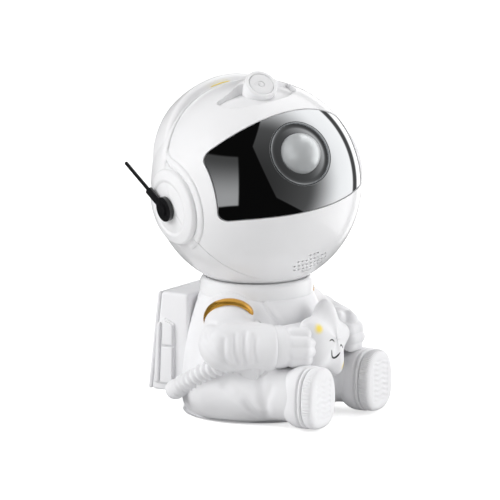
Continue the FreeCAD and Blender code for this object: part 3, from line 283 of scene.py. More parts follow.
def limb(points, start, end, start_radius, end_radius):
    """Cone with a ball at each end."""
    start, end = np.array(start, float), np.array(end, float)
    run = end - start
    squared = run @ run
    change = start_radius - end_radius
    slant = squared - change * change
    offset = points - start
    y = offset @ run
    z = y - squared
    x2 = ((offset * squared - y[:, None] * run) ** 2).sum(1)
    y2, z2 = y * y * squared, z * z * squared
    tip = np.sign(change) * change * change * x2
    far = np.sqrt(x2 + z2) / squared - end_radius
    near = np.sqrt(x2 + y2) / squared - start_radius
    side = (np.sqrt(x2 * slant / squared) + y * change) / squared - start_radius
    return np.where(np.sign(z) * slant * z2 > tip, far,
                    np.where(np.sign(y) * slant * y2 < tip, near, side))


def line_distance(points, path):
    """Distance to a line through several points."""
    best = np.full(len(points), 1e9)
    for start, end in zip(path, path[1:]):
        start, run = np.array(start, float), np.subtract(end, start)
        offset = points - start
        t = np.clip(offset @ run / (run @ run), 0.0, 1.0)
        best = np.minimum(best, np.linalg.norm(offset - t[:, None] * run, axis=1))
    return best


# the suit: its underside, the trunk's side as an arc, and the right limbs' joints
FLOOR = 1.0
TRUNK_CENTRE, TRUNK_CURVE, TRUNK_BULGE, TRUNK_TOP = -112.0, 160.0, 18.0, 80.6
SHOULDER, ELBOW = (-37, -3, 68.5), (-52.5, -10, 53)
WRIST, HAND = (-40, -35, 51.5), (-29.5, -46, 51)
HIP, ANKLE = (-36, 6, 21.5), (-34.5, -50, 21.5)


def trunk_field(points):
    radius = np.hypot(points[:, 0], points[:, 1])
    side = np.hypot(radius - TRUNK_CENTRE, points[:, 2] - TRUNK_BULGE) - TRUNK_CURVE
    body = smooth_max(side, points[:, 2] - TRUNK_TOP, 5.0)
    return smooth_max(body, FLOOR - points[:, 2], 9.0)


def along_hand():
    reach = np.subtract(HAND, WRIST)
    return reach / np.linalg.norm(reach)


def arm_field(points):
    upper = limb(points, SHOULDER, ELBOW, 14.6, 16.2)
    lower = limb(points, ELBOW, WRIST, 16.2, 14.6)
    cuff = (points - np.array(WRIST)) @ along_hand() - 4.0
    return smooth_max(smooth_min(upper, lower, 4.0), cuff, 4.0)


def leg_field(points):
    tube = limb(points, HIP, ANKLE, 20.7, 16.8)
    return smooth_max(tube, FLOOR - points[:, 2], 7.0)


def mirrored(field):
    def other(points):
        return field(points * np.array([-1.0, 1.0, 1.0]))
    return other


FOLDS = [
    # path on the right side of the figure, width, depth (negative stands proud)
    ([(-66.6, -17.7, 58.5), (-66.9, -17.2, 50.0), (-64.5, -17.5, 44.5), (-59.7, -19.7, 40.1)],
     1.9, 1.5),
    ([(-62.0, -22.5, 61.2), (-63.2, -23.0, 52.0), (-60.7, -23.7, 43.3)], 1.5, 1.0),
    ([(-56.7, -26.8, 63.2), (-60.6, -28.6, 50.8), (-57.0, -27.8, 42.3)], 1.6, 1.1),
    ([(-54.4, -33.8, 61.1), (-56.6, -34.5, 52.0), (-55.0, -34.9, 44.5)], 1.6, 1.1),
    ([(-64.5, -20.0, 60.0), (-66.0, -20.5, 51.0), (-62.5, -21.0, 43.0)], 1.7, -0.7),
    ([(-59.8, -25.0, 62.5), (-62.0, -26.0, 51.5), (-59.0, -26.0, 42.5)], 1.7, -0.6),
    ([(-55.8, -30.5, 62.5), (-58.8, -31.6, 51.5), (-56.0, -31.5, 43.0)], 1.7, -0.6),
    ([(-63.0, 0.7, 61.5), (-68.0, -4.5, 57.0), (-69.6, -10.5, 51.6), (-67.8, -15.0, 46.9)],
     2.2, 1.2),
    ([(-56.5, 3.4, 65.0), (-62.2, -10.0, 67.2), (-53.5, -18.5, 69.1), (-46.2, -30.7, 66.8)],
     2.2, 1.1),
    ([(-67.2, -8.3, 61.8), (-62.2, -12.8, 66.9)], 2.0, 0.8),
    ([(-27.3, -20.1, 79.6), (-28.3, -26.3, 72.0), (-26.1, -32.0, 64.4)], 1.3, 1.0),
    ([(-25.4, -22.4, 79.6), (-26.0, -28.6, 72.0), (-23.9, -34.0, 64.4)], 1.6, -0.7),
    ([(-54.7, -10.9, 27.6), (-56.5, -18.0, 23.5), (-54.6, -24.9, 19.3), (-50.0, -29.5, 12.0),
      (-44.8, -32.6, 5.3)], 3.0, 3.2),
    ([(-57.6, -14.0, 19.0), (-55.5, -21.0, 13.0), (-50.0, -26.0, 5.0)], 3.0, -1.0),
    ([(-48.6, -32.9, 34.4), (-52.0, -36.7, 26.3), (-52.0, -37.4, 16.7)], 3.0, 1.9),
    ([(-51.0, -42.0, 26.8), (-48.5, -38.5, 14.0), (-44.5, -34.2, 5.5)], 2.8, 1.8),
    ([(-20.0, -30.0, 40.0), (-30.0, -38.0, 41.0), (-42.0, -42.0, 38.0)], 3.0, 0.8),
]


def folds(points):
    """Depth of the suit's folds at each point."""
    folded = np.column_stack([-np.abs(points[:, 0]), points[:, 1], points[:, 2]])
    depth = np.zeros(len(points))
    for path, width, fold in FOLDS:
        depth += fold * np.exp(-(line_distance(folded, path) / width) ** 2)
    return depth * bpy.context.scene.projector_sizes.fold_depth


SUIT = {
    "trunk": trunk_field,
    "right_arm": arm_field, "left_arm": mirrored(arm_field),
    "right_leg": leg_field, "left_leg": mirrored(leg_field),
}


def suit_field(points):
    """The whole suit, its forms flowing into each other, with its folds."""
    whole = None
    for field in SUIT.values():
        distance = field(points)
        whole = distance if whole is None else smooth_min(whole, distance, 6.0)
    return whole + folds(points)


def slope(field, points):
    step = 0.05
    out = np.empty_like(points)
    for axis in range(3):
        shift = np.zeros(3)
        shift[axis] = step
        out[:, axis] = (field(points + shift) - field(points - shift)) / (2 * step)
    return out


def settle(points, field, level=0.0, rounds=6):
    """Move points onto the surface where the field has a level."""
    for _ in range(rounds):
        gradient = slope(field, points)
        squared = np.maximum((gradient ** 2).sum(1), 0.04)
        miss = field(points) - level
        points = points - gradient * (np.clip(miss, -3.0, 3.0) / squared)[:, None]
    return points


def blob(balls, voxel):
    """Even mesh round a string of (centre, radius) balls."""
    bm = bmesh.new()
    for centre, radius in balls:
        bmesh.ops.create_icosphere(bm, subdivisions=3, radius=radius,
                                   matrix=Matrix.Translation(centre))
    return even(bm, voxel)


def even(bm, voxel):
    """Remesh a mesh into even small faces."""
    mesh = bpy.data.meshes.new("blob")
    bm.to_mesh(mesh)
    bm.free()
    item = bpy.data.objects.new("blob", mesh)
    bpy.context.scene.collection.objects.link(item)
    modifier = item.modifiers.new("even", "REMESH")
    modifier.mode = "VOXEL"
    modifier.voxel_size = voxel
    result = bmesh.new()
    result.from_mesh(evaluated(item))
    bpy.data.objects.remove(item)
    bpy.data.meshes.remove(mesh)
    return result


def string(start, end, start_radius, end_radius, count=14):
    """Balls from one point to another."""
    start, end = Vector(start), Vector(end)
    return [(start.lerp(end, i / (count - 1)),
             start_radius + (end_radius - start_radius) * i / (count - 1))
            for i in range(count)]


def coordinates(bm):
    return np.array([vert.co for vert in bm.verts])


def set_coordinates(bm, points):
    for vert, point in zip(bm.verts, points):
        vert.co = point


def inside_others(points, own):
    """How far each point lies inside the suit's other forms, past its own surface."""
    others = [field(points) for name, field in SUIT.items() if name != own]
    return SUIT[own](points) - np.min(others, axis=0)


def laid_on_suit(points, own, rounds):
    """Points moved onto the suit, and sunk a little where a neighbour takes over."""
    for _ in range(2):
        points = settle(points, suit_field, 0.0, rounds)
    sunk = -np.clip(inside_others(points, own) * 0.4, 0.0, 1.2)
    return settle(points, suit_field, sunk, 3)


def fit_to_suit(bm, own):
    """Lay a form's mesh on the suit; what lies deep inside a neighbour stays put."""
    points = coordinates(bm)
    laid = laid_on_suit(points, own, 4)
    keep = smooth_step(inside_others(points, own), 3.0, 7.0)[:, None]
    moved = (laid - points) * (1 - keep)
    far = np.maximum(np.linalg.norm(moved, axis=1), 1e-6)[:, None]
    set_coordinates(bm, points + moved * np.minimum(1.0, 3.5 / far))
    for _ in range(2):
        bmesh.ops.smooth_vert(bm, verts=bm.verts, factor=0.5, use_axis_x=True, use_axis_y=True,
                              use_axis_z=True)
    bmesh.ops.recalc_face_normals(bm, faces=bm.faces)
    return bm


# ---------------------------------------------------------------- finishes

def shader(name):
    """A new material and its principled shader."""
    material = bpy.data.materials.new(name)
    material.use_nodes = True
    return material, material.node_tree.nodes["Principled BSDF"]


def add(tree, kind, inputs, output, **settings):
    """New node: its settings, its inputs (linked from a socket or typed), and its output."""
    node = tree.nodes.new(kind)
    for name, value in settings.items():
        setattr(node, name, value)
    for key, value in inputs.items():
        if isinstance(value, bpy.types.NodeSocket):
            tree.links.new(value, node.inputs[key])
        else:
            node.inputs[key].default_value = value
    return node.outputs[output]


def object_space(tree):
    return tree.nodes.new("ShaderNodeTexCoord").outputs["Object"]


def noise(tree, scale, detail=3.0, stretch=(1, 1, 1)):
    """Noise in the object's own space; scale is in features per metre."""
    place = add(tree, "ShaderNodeMapping", {"Vector": object_space(tree), "Scale": stretch},
                "Vector")
    return add(tree, "ShaderNodeTexNoise",
               {"Vector": place, "Scale": scale, "Detail": detail}, "Fac")


def spread(tree, source, low, high):
    """The source mapped from its middle range onto low to high."""
    return add(tree, "ShaderNodeMapRange", {"Value": source, "From Min": 0.3, "From Max": 0.7,
                                            "To Min": low, "To Max": high}, "Result")


def ramp_up(tree, value, low, high, top=1.0, bottom=0.0):
    """Smooth rise from bottom to top while the value goes from low to high."""
    return add(tree, "ShaderNodeMapRange", {"Value": value, "From Min": low, "From Max": high,
                                            "To Min": bottom, "To Max": top}, "Result",
               interpolation_type="SMOOTHSTEP")


def blend_colours(tree, factor, first, second):
    node = tree.nodes.new("ShaderNodeMix")
    node.data_type = "RGBA"
    for socket, value in (("A", first), ("B", second)):
        target = [s for s in node.inputs if s.name == socket and s.type == "RGBA"][0]
        if isinstance(value, bpy.types.NodeSocket):
            tree.links.new(value, target)
        else:
            target.default_value = (*value, 1.0)
    tree.links.new(factor, node.inputs["Factor"])
    return [s for s in node.outputs if s.type == "RGBA"][0]


def bump(tree, principled, height, strength, distance):
    normal = add(tree, "ShaderNodeBump", {"Height": height, "Strength": strength,
                                          "Distance": distance}, "Normal")
    tree.links.new(normal, principled.inputs["Normal"])


def moulding(name, base, rough, variation=0.04, coat=0.0, grain=(900, 0.05, 0.00008), metal=0.0,
             stretch=(1, 1, 1), unevenness=0.18):
    """Moulded or plated surface with uneven gloss, slight tone change and a fine grain."""
    material, principled = shader(name)
    tree = material.node_tree
    darker = tuple(channel * (1 - variation) for channel in base)
    tone = blend_colours(tree, spread(tree, noise(tree, 25), 0, 1), base, darker)
    tree.links.new(tone, principled.inputs["Base Color"])
    gloss = spread(tree, noise(tree, 140, 4, stretch), rough * (1 - unevenness),
                   rough * (1 + unevenness))
    tree.links.new(gloss, principled.inputs["Roughness"])
    principled.inputs["Coat Weight"].default_value = coat
    principled.inputs["Coat Roughness"].default_value = 0.06
    principled.inputs["Metallic"].default_value = metal
    scale, strength, distance = grain
    bump(tree, principled, noise(tree, scale, 2, stretch), strength, distance)
    return material


def visor_material():
    return moulding("smoked_mirror", tint("visor_tint"), 0.03, 0.06, metal=1.0,
                    grain=(60, 0.03, 0.00006))


# centre and radius of each spot on the star, in millimetres
BLUSH_SPOTS = [((-21.7, -60.7, 63.2), 4.6), ((3.5, -62.5, 36.0), 4.4)]


def star_material():
    """White satin toy with soft yellow sprayed on two of its tips."""
    material = moulding("star_satin", tint("suit_white"), 0.4)
    tree = material.node_tree
    principled = tree.nodes["Principled BSDF"]
    base = principled.inputs["Base Color"].links[0].from_socket
    place = object_space(tree)
    for spot, radius in BLUSH_SPOTS:
        gap = add(tree, "ShaderNodeVectorMath", {0: place, 1: [axis * MM for axis in spot]},
                  "Value", operation="DISTANCE")
        fade = ramp_up(tree, gap, radius * MM, 0.15 * radius * MM)
        base = blend_colours(tree, fade, base, tint("blush"))
    tree.links.new(base, principled.inputs["Base Color"])
    return material


def build_finishes():
    """One material for each slot of the record."""
    white, satin = tint("shell_white"), tint("suit_white")
    metal = {"metal": 1.0, "stretch": (1, 1, 6), "grain": (700, 0.1, 0.00006)}
    return {
        "white_gloss": moulding("gloss_shell", white, 0.3, 0.01, 0.3, (700, 0.008, 0.00003),
                                unevenness=0.04),
        "white_satin": moulding("satin_suit", satin, 0.42, 0.03),
        "visor_black": visor_material(),
        "lens_blue": moulding("coated_dish", tint("dish_tint"), 0.08, 0.06, metal=1.0,
                              grain=(60, 0.03, 0.00006)),
        "clear_lens": moulding("ball_lens", tint("lens_tint"), 0.3, 0.04, 0.1,
                               (300, 0.004, 0.00002), 0.35, unevenness=0.05),
        "nebula_film": nebula_material(),
        "gear_white": moulding("acetal", (0.8, 0.8, 0.76), 0.35),
        "motor_steel": moulding("motor_can", (0.6, 0.6, 0.61), 0.3, 0.1, **metal),
        "steel": moulding("zinc_plate", (0.56, 0.57, 0.58), 0.28, 0.12, **metal),
        "aluminium": moulding("extrusion", (0.7, 0.71, 0.72), 0.32, 0.08, **metal),
        "board_green": moulding("solder_mask", (0.03, 0.2, 0.09), 0.35, 0.2, 0.2),
        "black_plastic": moulding("gloss_black", (0.012, 0.012, 0.013), 0.16, 0.2, 0.3),
        "black_matte": moulding("matt_black", (0.028, 0.029, 0.031), 0.45, 0.2),
        "grey_key": moulding("key_grey", tint("key_grey"), 0.38, 0.05),
        "window_clear": moulding("frosted_window", (0.78, 0.78, 0.79), 0.3, 0.04, 0.3),
        "gold": moulding("gold_lacquer", tint("gold"), 0.24, 0.12, 0.5, metal=0.75),
        "star_yellow": moulding("printed_yellow", tint("blush"), 0.4),
        "hose_white": moulding("satin_hose", satin, 0.4, 0.04),
        "star_white": star_material(),
        "rubber_pad": moulding("rubber", (0.7, 0.7, 0.69), 0.6, 0.05,
                               grain=(1500, 0.3, 0.0001)),
        "magnet": moulding("nickel", (0.63, 0.63, 0.65), 0.2, 0.1, **metal),
        "ballast": moulding("cast_weight", (0.09, 0.09, 0.095), 0.55, 0.3, metal=0.6,
                            grain=(600, 0.4, 0.0003)),
    }


def nebula_material():
    """Dyed film with clouds of blue, violet and green."""
    material = moulding("nebula_film", (0.05, 0.07, 0.4), 0.2, 0.2, 0.2)
    tree = material.node_tree
    ramp = tree.nodes.new("ShaderNodeValToRGB")
    stops = ramp.color_ramp.elements
    stops[0].position, stops[0].color = 0.36, (0.01, 0.02, 0.10, 1)
    stops[1].position, stops[1].color = 0.66, (0.05, 0.45, 0.5, 1)
    middle = stops.new(0.5)
    middle.color = (0.25, 0.06, 0.5, 1)
    tree.links.new(noise(tree, 110, 6), ramp.inputs["Fac"])
    principled = tree.nodes["Principled BSDF"]
    tree.links.new(ramp.outputs["Color"], principled.inputs["Base Color"])
    return material


FINISHES = {}


# ---------------------------------------------------------------- the helmet's forms

# helmet, in its own frame: the plane between its shells, and the laser pod's face
SPLIT = -7.0
POD_TILT = math.radians(20.0)
POD_FACE = np.array([0.0, -49.0, 52.5])
POD_AXIS = np.array([0.0, -math.cos(POD_TILT), math.sin(POD_TILT)])
POD_UP = np.array([0.0, math.sin(POD_TILT), math.cos(POD_TILT)])


def arc_circle(half_chord, chord_height, crown_height):
    """Centre height and radius of the circle through a level chord's ends and a crown."""
    rise = crown_height - chord_height
    radius = (half_chord ** 2 + rise ** 2) / (2 * abs(rise))
    return crown_height - math.copysign(radius, rise), radius


# the visor's outline from the front: half chord, chord height and crown height of each arc
VISOR_CORNER = 5.0
VISOR_TOP = (53.5, 20.0, 29.0)
VISOR_BOTTOM = (55.5, -22.8, -36.3)
VISOR_MIDDLE = -4.0


def visor_field(x, z):
    """How far outside the visor's outline each point lies, seen from the front."""
    top_centre, top_radius = arc_circle(*VISOR_TOP)
    low_centre, low_radius = arc_circle(*VISOR_BOTTOM)
    level = np.maximum(np.hypot(x, z - top_centre) - top_radius,
                       np.hypot(x, z - low_centre) - low_radius)
    run = np.array([VISOR_TOP[1] - VISOR_BOTTOM[1], VISOR_BOTTOM[0] - VISOR_TOP[0]])
    outward = run / np.linalg.norm(run)
    side = (np.abs(x) - VISOR_TOP[0]) * outward[0] + (z - VISOR_TOP[1]) * outward[1]
    a, b = level + VISOR_CORNER, side + VISOR_CORNER
    inside = np.minimum(np.maximum(a, b), 0.0)
    return inside + np.hypot(np.maximum(a, 0), np.maximum(b, 0)) - VISOR_CORNER


def visor_rim(angles, grow):
    """Points of the visor's outline, grown outwards, at angles round its middle."""
    near, far = np.full(len(angles), 10.0), np.full(len(angles), 75.0)
    for _ in range(40):
        middle = (near + far) / 2
        outside = visor_field(middle * np.cos(angles),
                              middle * np.sin(angles) + VISOR_MIDDLE) > grow
        far = np.where(outside, middle, far)
        near = np.where(outside, near, middle)
    return near * np.cos(angles), near * np.sin(angles) + VISOR_MIDDLE


def rim_angle(share):
    """Angles for shares of the way round the visor, closer together at its corners."""
    angles = np.linspace(0, math.tau, 3601)
    x, z = visor_rim(angles, 0.0)
    steps = np.hypot(np.diff(x), np.diff(z))
    heading = np.unwrap(np.arctan2(np.diff(z), np.diff(x)))
    bend = np.abs(np.diff(heading, append=heading[0] + math.tau))
    window = 41
    ring = np.concatenate([bend[-window:], bend, bend[:window]])
    bend = np.convolve(ring, np.ones(window) / window, "same")[window:-window]
    travelled = np.concatenate([[0.0], np.cumsum(steps + 22.0 * bend)])
    return np.interp(share * travelled[-1], travelled, angles)


def on_globe(x, z, radius=1.0):
    """Unit directions of the helmet's points seen at x, z from the front."""
    globe = size("helmet_radius")
    y = -np.sqrt(np.maximum(globe ** 2 - x ** 2 - z ** 2, 0.0))
    return np.column_stack([x, y, z]) / globe * radius


def across(start, end, t):
    """Directions part of the way round the globe from start to end."""
    angle = np.arccos(np.clip((start * end).sum(1), -1, 1))[:, None]
    t = t[:, None]
    return (np.sin((1 - t) * angle) * start + np.sin(t * angle) * end) / np.sin(angle)


def oval(across_it, up_it, half_width, half_height):
    """About how far outside an oval prism each point lies."""
    return (np.hypot(across_it / half_width, up_it / half_height) - 1) * half_height


def pod_field(points):
    """Forehead: globe with the hood behind the pod and the scoop round it."""
    radius = np.linalg.norm(points, axis=1)
    offset = points - POD_FACE
    across_pod, up_pod, ahead = points[:, 0], offset @ POD_UP, offset @ POD_AXIS
    hood = oval(across_pod, up_pod, 15.5, 10.4)
    hood = smooth_max(hood, ahead + 5.0, 5.0)
    hood = smooth_max(hood, -ahead - 24.0, 8.0)
    surface = smooth_min(radius - size("helmet_radius"), hood, 9.0)
    scoop = oval(across_pod, up_pod, 27.0, 14.5)
    scoop = np.maximum(scoop, up_pod - 3.5)
    floor = size("helmet_radius") - 3.6 - 1.6 * smooth_step(across_pod, 0.0, 12.0)
    scoop = smooth_max(scoop, floor - radius, 2.0)
    return smooth_max(surface, -scoop, 1.0)


def globe_height(directions):
    """Height over the plain globe of the front shell's forehead."""
    low = np.full(len(directions), size("helmet_radius") - 5.5)
    high = np.full(len(directions), size("helmet_radius") + 14.0)
    for _ in range(24):
        middle = (low + high) / 2
        inside = pod_field(directions * middle[:, None]) < 0
        low, high = np.where(inside, middle, low), np.where(inside, high, middle)
    return (low + high) / 2 - size("helmet_radius")


# the headband's edges along Y, and its arch's radius and centre height
BAND_FRONT, BAND_BACK, BAND_RADIUS, BAND_RISE = -5.0, 17.0, 62.5, 11.4


def trim_height(directions):
    """Height of the ridge and of the raised ground inside it, round headband and ears."""
    points = directions * size("helmet_radius")
    y, z = points[:, 1], points[:, 2]
    low_end = np.maximum(14.0 - z, 0.0) * 1.2
    band = np.maximum(BAND_FRONT - y, y - BAND_BACK) + low_end
    ear = np.hypot(y, z) - size("ear_radius")
    gap = smooth_min(band, ear, 13.0)
    round_ear = smooth_step(band - ear, -7.0, 9.0)
    width = 2.3 + (size("ridge_width") - 2.3) * round_ear
    share = np.clip(gap / width, -1.0, 2.0)
    ridge = np.where(share > 0, np.sqrt(np.clip(1 - (2 * share - 1) ** 2, 0, 1)), 0.0)
    front = smooth_step(-y, -8.0, 0.0)
    ridge = ridge * size("ridge_height") * (0.25 + 0.75 * front)
    ground = 1.7 * np.sqrt(np.clip(1 - (1 - np.clip(-gap / 2.6, 0, 1)) ** 2, 0, 1))
    crease = 0.35 * (np.exp(-((gap - width) / 0.35) ** 2) + np.exp(-(gap / 0.35) ** 2)) * front
    return ridge + ground - crease


def shell_section(outer_rows, inner_rows, wall, edge):
    """A shell's section as shares of the way across and depths below its surface."""
    outer = np.linspace(0.012, 0.988, outer_rows)
    inner = np.linspace(1.0, 0.0, inner_rows)
    share = [0.0, 0.0005, 0.003, 0.007, *outer, 0.993, 0.997, 0.9995, *inner, 0.0]
    depth = [edge, edge * 0.4, edge * 0.12, 0.0, *([0.0] * outer_rows),
             0.0, edge * 0.12, edge * 0.4, *([wall] * inner_rows), edge]
    share.insert(4 + outer_rows + 3, 1.0)
    depth.insert(4 + outer_rows + 3, edge)
    return np.array(share), np.array(depth)


def read_rows(v, columns):
    """Each column of a table, read at shares v of the way down its rows."""
    index = v * (len(columns[0]) - 1)
    return [np.interp(index, np.arange(len(column)), column) for column in columns]


def front_shell_mesh():
    section = shell_section(96, 14, size("helmet_wall"), 0.45)
    seam = SPLIT - 0.4
    ring = math.sqrt(size("helmet_radius") ** 2 - seam ** 2)

    def place(u, v):
        share, depth = read_rows(v, section)
        angles = rim_angle(u)
        inner = on_globe(*visor_rim(angles, 0.0))
        outer = np.column_stack([ring * np.cos(angles), np.full(len(u), seam),
                                 ring * np.sin(angles)]) / size("helmet_radius")
        direction = across(inner, outer, share)
        height = globe_height(direction) + trim_height(direction)
        on_surface = depth < size("helmet_wall") * 0.9
        radius = size("helmet_radius") + np.where(on_surface, height, 0.0) - depth
        return direction * radius[:, None]

    return sheet(420, len(section[0]) - 1, place)


def rear_shell_mesh():
    share_rows, wall = 90, size("helmet_wall")
    split = math.acos(SPLIT / size("helmet_radius"))
    section = (np.concatenate([np.linspace(0, 0.996, share_rows), [0.9985, 1.0, 1.0],
                               np.linspace(1.0, 0.0, 16)]),
               np.concatenate([np.zeros(share_rows), [0.1, 0.4, wall], np.full(16, wall)]))

    def place(u, v):
        angles = math.tau * u
        share, depth = read_rows(v, section)
        polar = share * split
        direction = np.column_stack([np.cos(angles) * np.sin(polar), np.cos(polar),
                                     np.sin(angles) * np.sin(polar)])
        height = np.where(depth < 2.0, trim_height(direction), 0.0)
        radius = size("helmet_radius") + height - depth
        return direction * radius[:, None]

    return sheet(360, share_rows + 18, place)


def rod(start, direction, radius, length, steps=24):
    """Cylinder for cutting, from a start point."""
    bm = bmesh.new()
    direction = Vector(direction).normalized()
    matrix = pointing(Vector(start) + direction * length / 2, direction)
    bmesh.ops.create_cone(bm, cap_ends=True, segments=steps, radius1=radius, radius2=radius,
                          depth=length, matrix=matrix)
    return bm


# rear of the helmet: the keys across it and their height, and the inlet's
KEY_SPOTS = (-15.0, 0.0, 15.0)
KEY_HEIGHT, INLET_DROP = 6.0, -11.0


def rear_cutters():
    """Keys, inlet and screw counterbores in the rear shell."""
    tools = [rod((x, 50, KEY_HEIGHT), (0, 1, 0), 4.8, 30, 48) for x in KEY_SPOTS]
    tools += [rod((x, 0, z), (0, 1, 0), 3.1, 70, 32) for x in (-32, 32) for z in (-42, 42)]
    tools.append(block((-4.65, 50, INLET_DROP - 1.95), (4.65, 80, INLET_DROP + 1.95), 0.6, 3))
    return join(*tools)


GRILLE_TILT, GRILLE_SHIFT = math.radians(-69.5), 2.5


def grille_cutters():
    """Staggered holes of the oval chin grille."""
    outward = Vector((0, -math.cos(GRILLE_TILT), math.sin(GRILLE_TILT)))
    up = outward.cross(Vector((1, 0, 0)))
    pitch, row_step = 3.0, 4.3
    tools = []
    for row in range(-2, 3):
        for column in range(-5, 6):
            x, z = column * pitch + (pitch / 2 if row % 2 else 0.0), row * row_step
            if (x / 12.5) ** 2 + (z / 9.5) ** 2 <= 1:
                start = outward * 58 + Vector((1, 0, 0)) * (x + GRILLE_SHIFT) + up * z
                tools.append(rod(start, outward, 0.9, 14, 12))
    return join(*tools)


def visor_mesh():
    """Smoked panel between the visor's outline and the lens hole."""
    section = shell_section(70, 10, 1.8, 0.5)

    def place(u, v):
        across_share, below = read_rows(v, section)
        angles = rim_angle(u)
        rim_x, rim_z = visor_rim(angles, -0.3)
        hole = size("lens_radius")
        inner = on_globe(hole * np.cos(angles), hole * np.sin(angles))
        direction = across(inner, on_globe(rim_x, rim_z), across_share)
        return direction * (size("helmet_radius") - 0.6 - below)[:, None]

    return sheet(380, len(section[0]) - 1, place)


def headband_mesh():
    """Arch from ear to ear with rounded shoulders and a soft foot behind."""
    width = BAND_BACK - BAND_FRONT
    shoulder = 4.2
    turn = np.linspace(0, math.pi / 2, 9)
    front = [(BAND_FRONT + shoulder * (1 - math.cos(a)), -shoulder * (1 - math.sin(a)))
             for a in turn]
    back = [(BAND_BACK - shoulder * (1 - math.cos(a)), -shoulder * (1 - math.sin(a)))
            for a in reversed(turn)]
    middle = [(BAND_FRONT + shoulder + (width - 2 * shoulder) * t, 0.25 * math.sin(math.pi * t))
              for t in np.linspace(0.1, 0.9, 9)]
    top = np.array(front + middle + back)
    foot = np.linspace(0, 1, 6)[1:]

    def place(u, v):
        theta = (u - 0.5) * math.radians(176)
        count = len(top)
        rows = np.concatenate([np.full(5, -1.0), np.arange(count), np.full(5, -2.0), [-3.0]])
        index = np.rint(v * (len(rows) - 1)).astype(int)
        crown_x = BAND_RADIUS * np.sin(theta)
        crown_z = BAND_RISE + BAND_RADIUS * np.cos(theta)
        out = np.empty((len(u), 3))
        for i, (row, x, z) in enumerate(zip(index, crown_x, crown_z)):
            reach = math.hypot(x, z)
            kind = rows[row]
            if kind >= 0:
                y, drop = top[int(kind)]
                radius = reach + drop
            else:
                if kind == -1.0:
                    t, start, y_end = 1 - row / 5, top[0], BAND_FRONT - 0.4
                elif kind == -2.0:
                    t, start, y_end = foot[row - 5 - count], top[-1], BAND_BACK + 3.4
                else:
                    t, start, y_end = 1.0, top[0], BAND_FRONT - 0.4
                ease = t * t if kind == -2.0 else t
                y = start[0] + (y_end - start[0]) * ease
                ground = math.sqrt((size("helmet_radius") - 1.6) ** 2 - y * y)
                drop = 1 - (1 - t) ** 2 if kind == -2.0 else t
                radius = (reach + start[1]) * (1 - drop) + min(ground, reach - 3) * drop
            out[i] = (x / reach * radius, y, z / reach * radius)
        return out

    return sheet(150, 5 + len(top) + 5, place)


def accent_mesh():
    """Short printed stripe on the ridge in front of the headband."""
    def place(u, v):
        along = math.radians(-9.0) + math.radians(13.0) * v
        taper = np.sqrt(np.clip(1 - (2 * v - 1) ** 4, 0.0, 1.0))
        turn = math.tau * u
        radius = size("helmet_radius") + 0.8 + 0.35 * taper * np.sin(turn)
        return np.column_stack([radius * np.sin(along), -6.1 + 0.9 * taper * np.cos(turn),
                                radius * np.cos(along)])
    return sheet(16, 40, place)


def ear_mesh():
    """Round ear cover: shallow dish, rounded lip; turned about its own axis."""
    face, lip = size("helmet_radius") + 1.4, size("helmet_radius") + 2.8
    dish, rim = 17.0, size("ear_radius")
    floor = [(r, math.sqrt(face ** 2 - r * r)) for r in np.linspace(0, dish - 1.5, 16)]
    slope = []
    for t in np.linspace(0, 1, 9)[1:]:
        r = dish - 1.5 + 3.4 * t
        ball = face + (lip - face) * (t * t * (3 - 2 * t))
        slope.append((r, math.sqrt(ball ** 2 - r * r)))
    crest = [(r, math.sqrt(lip ** 2 - r * r)) for r in np.linspace(dish + 2.3, rim - 1.9, 10)]
    top = crest[-1]
    edge = [(rim - 1.9 + 1.9 * math.sin(a), top[1] - 1.9 * (1 - math.cos(a)) - 0.2 * a)
            for a in np.linspace(0, math.pi / 2, 8)[1:]]
    base = size("helmet_radius") * 0.86
    return lathe(floor + slope + crest + edge + [(rim, base), (0, base)], 120)


def pod_mesh():
    """Short round housing of the laser, its face turned forwards."""
    rim, recess = 10.6, 8.15
    corners = [(0, -26), (rim, -26), (rim, 0), (recess, 0), (recess, -2.4), (0, -2.4)]
    return lathe(rounded_profile(corners, 1.1, 5), 96, pointing(POD_FACE, POD_AXIS))


def window_mesh():
    """Round white face in the pod with a small ring round its aperture."""
    corners = [(0, -3.2), (8.0, -3.2), (8.0, -0.5), (2.4, -0.5), (2.4, -0.95), (1.6, -0.95),
               (1.6, -0.6), (0, -0.6)]
    return lathe(rounded_profile(corners, 0.35, 3), 72, pointing(POD_FACE, POD_AXIS))


def dome_mesh():
    """Ball lens that stands out of its dish, on a short stem."""
    radius = 13.2
    arc = [(radius * math.sin(a), radius * math.cos(a)) for a in np.linspace(0, 2.1, 44)]
    return lathe(arc + [(10.4, -8.0), (10.4, -13.0), (0, -13.0)], 96,
                 pointing((0, -62.0, 0), (0, -1, 0)))


def dish_mesh():
    """Clear coated dish round the ball, from the visor's edge down to the stem."""
    top = [(21.25, 62.3), (21.0, 62.75), (20.6, 62.85), (20.25, 62.5), (20.0, 61.7), (19.0, 61.4),
           (17.0, 61.7), (14.6, 62.3), (12.0, 62.5), (9.6, 62.5)]
    under = [(9.6, 60.8), (14.6, 60.6), (17.6, 60.0), (20.0, 60.0), (21.25, 61.0),
             (21.25, 62.3)]
    return lathe((top + under)[:-1], 128, AHEAD, ring=True)


def bowl_mesh():
    """Barrel behind the visor: a dark bowl that narrows to the lens seat, then the tube."""
    inside = [(21.6, 60.6), (21.2, 58.6), (19.8, 55.4), (17.6, 52.6), (15.3, 50.4), (13.4, 49.4)]
    outline = [(23.4, 59.6), (22.9, 60.6)] + inside + [(13.4, 16.0), (15.4, 16.0), (15.4, 44.0),
                                                      (23.4, 52.0), (23.4, 59.6)]
    return lathe(outline[:-1], 96, AHEAD, ring=True)


# ---------------------------------------------------------------- the figure's forms

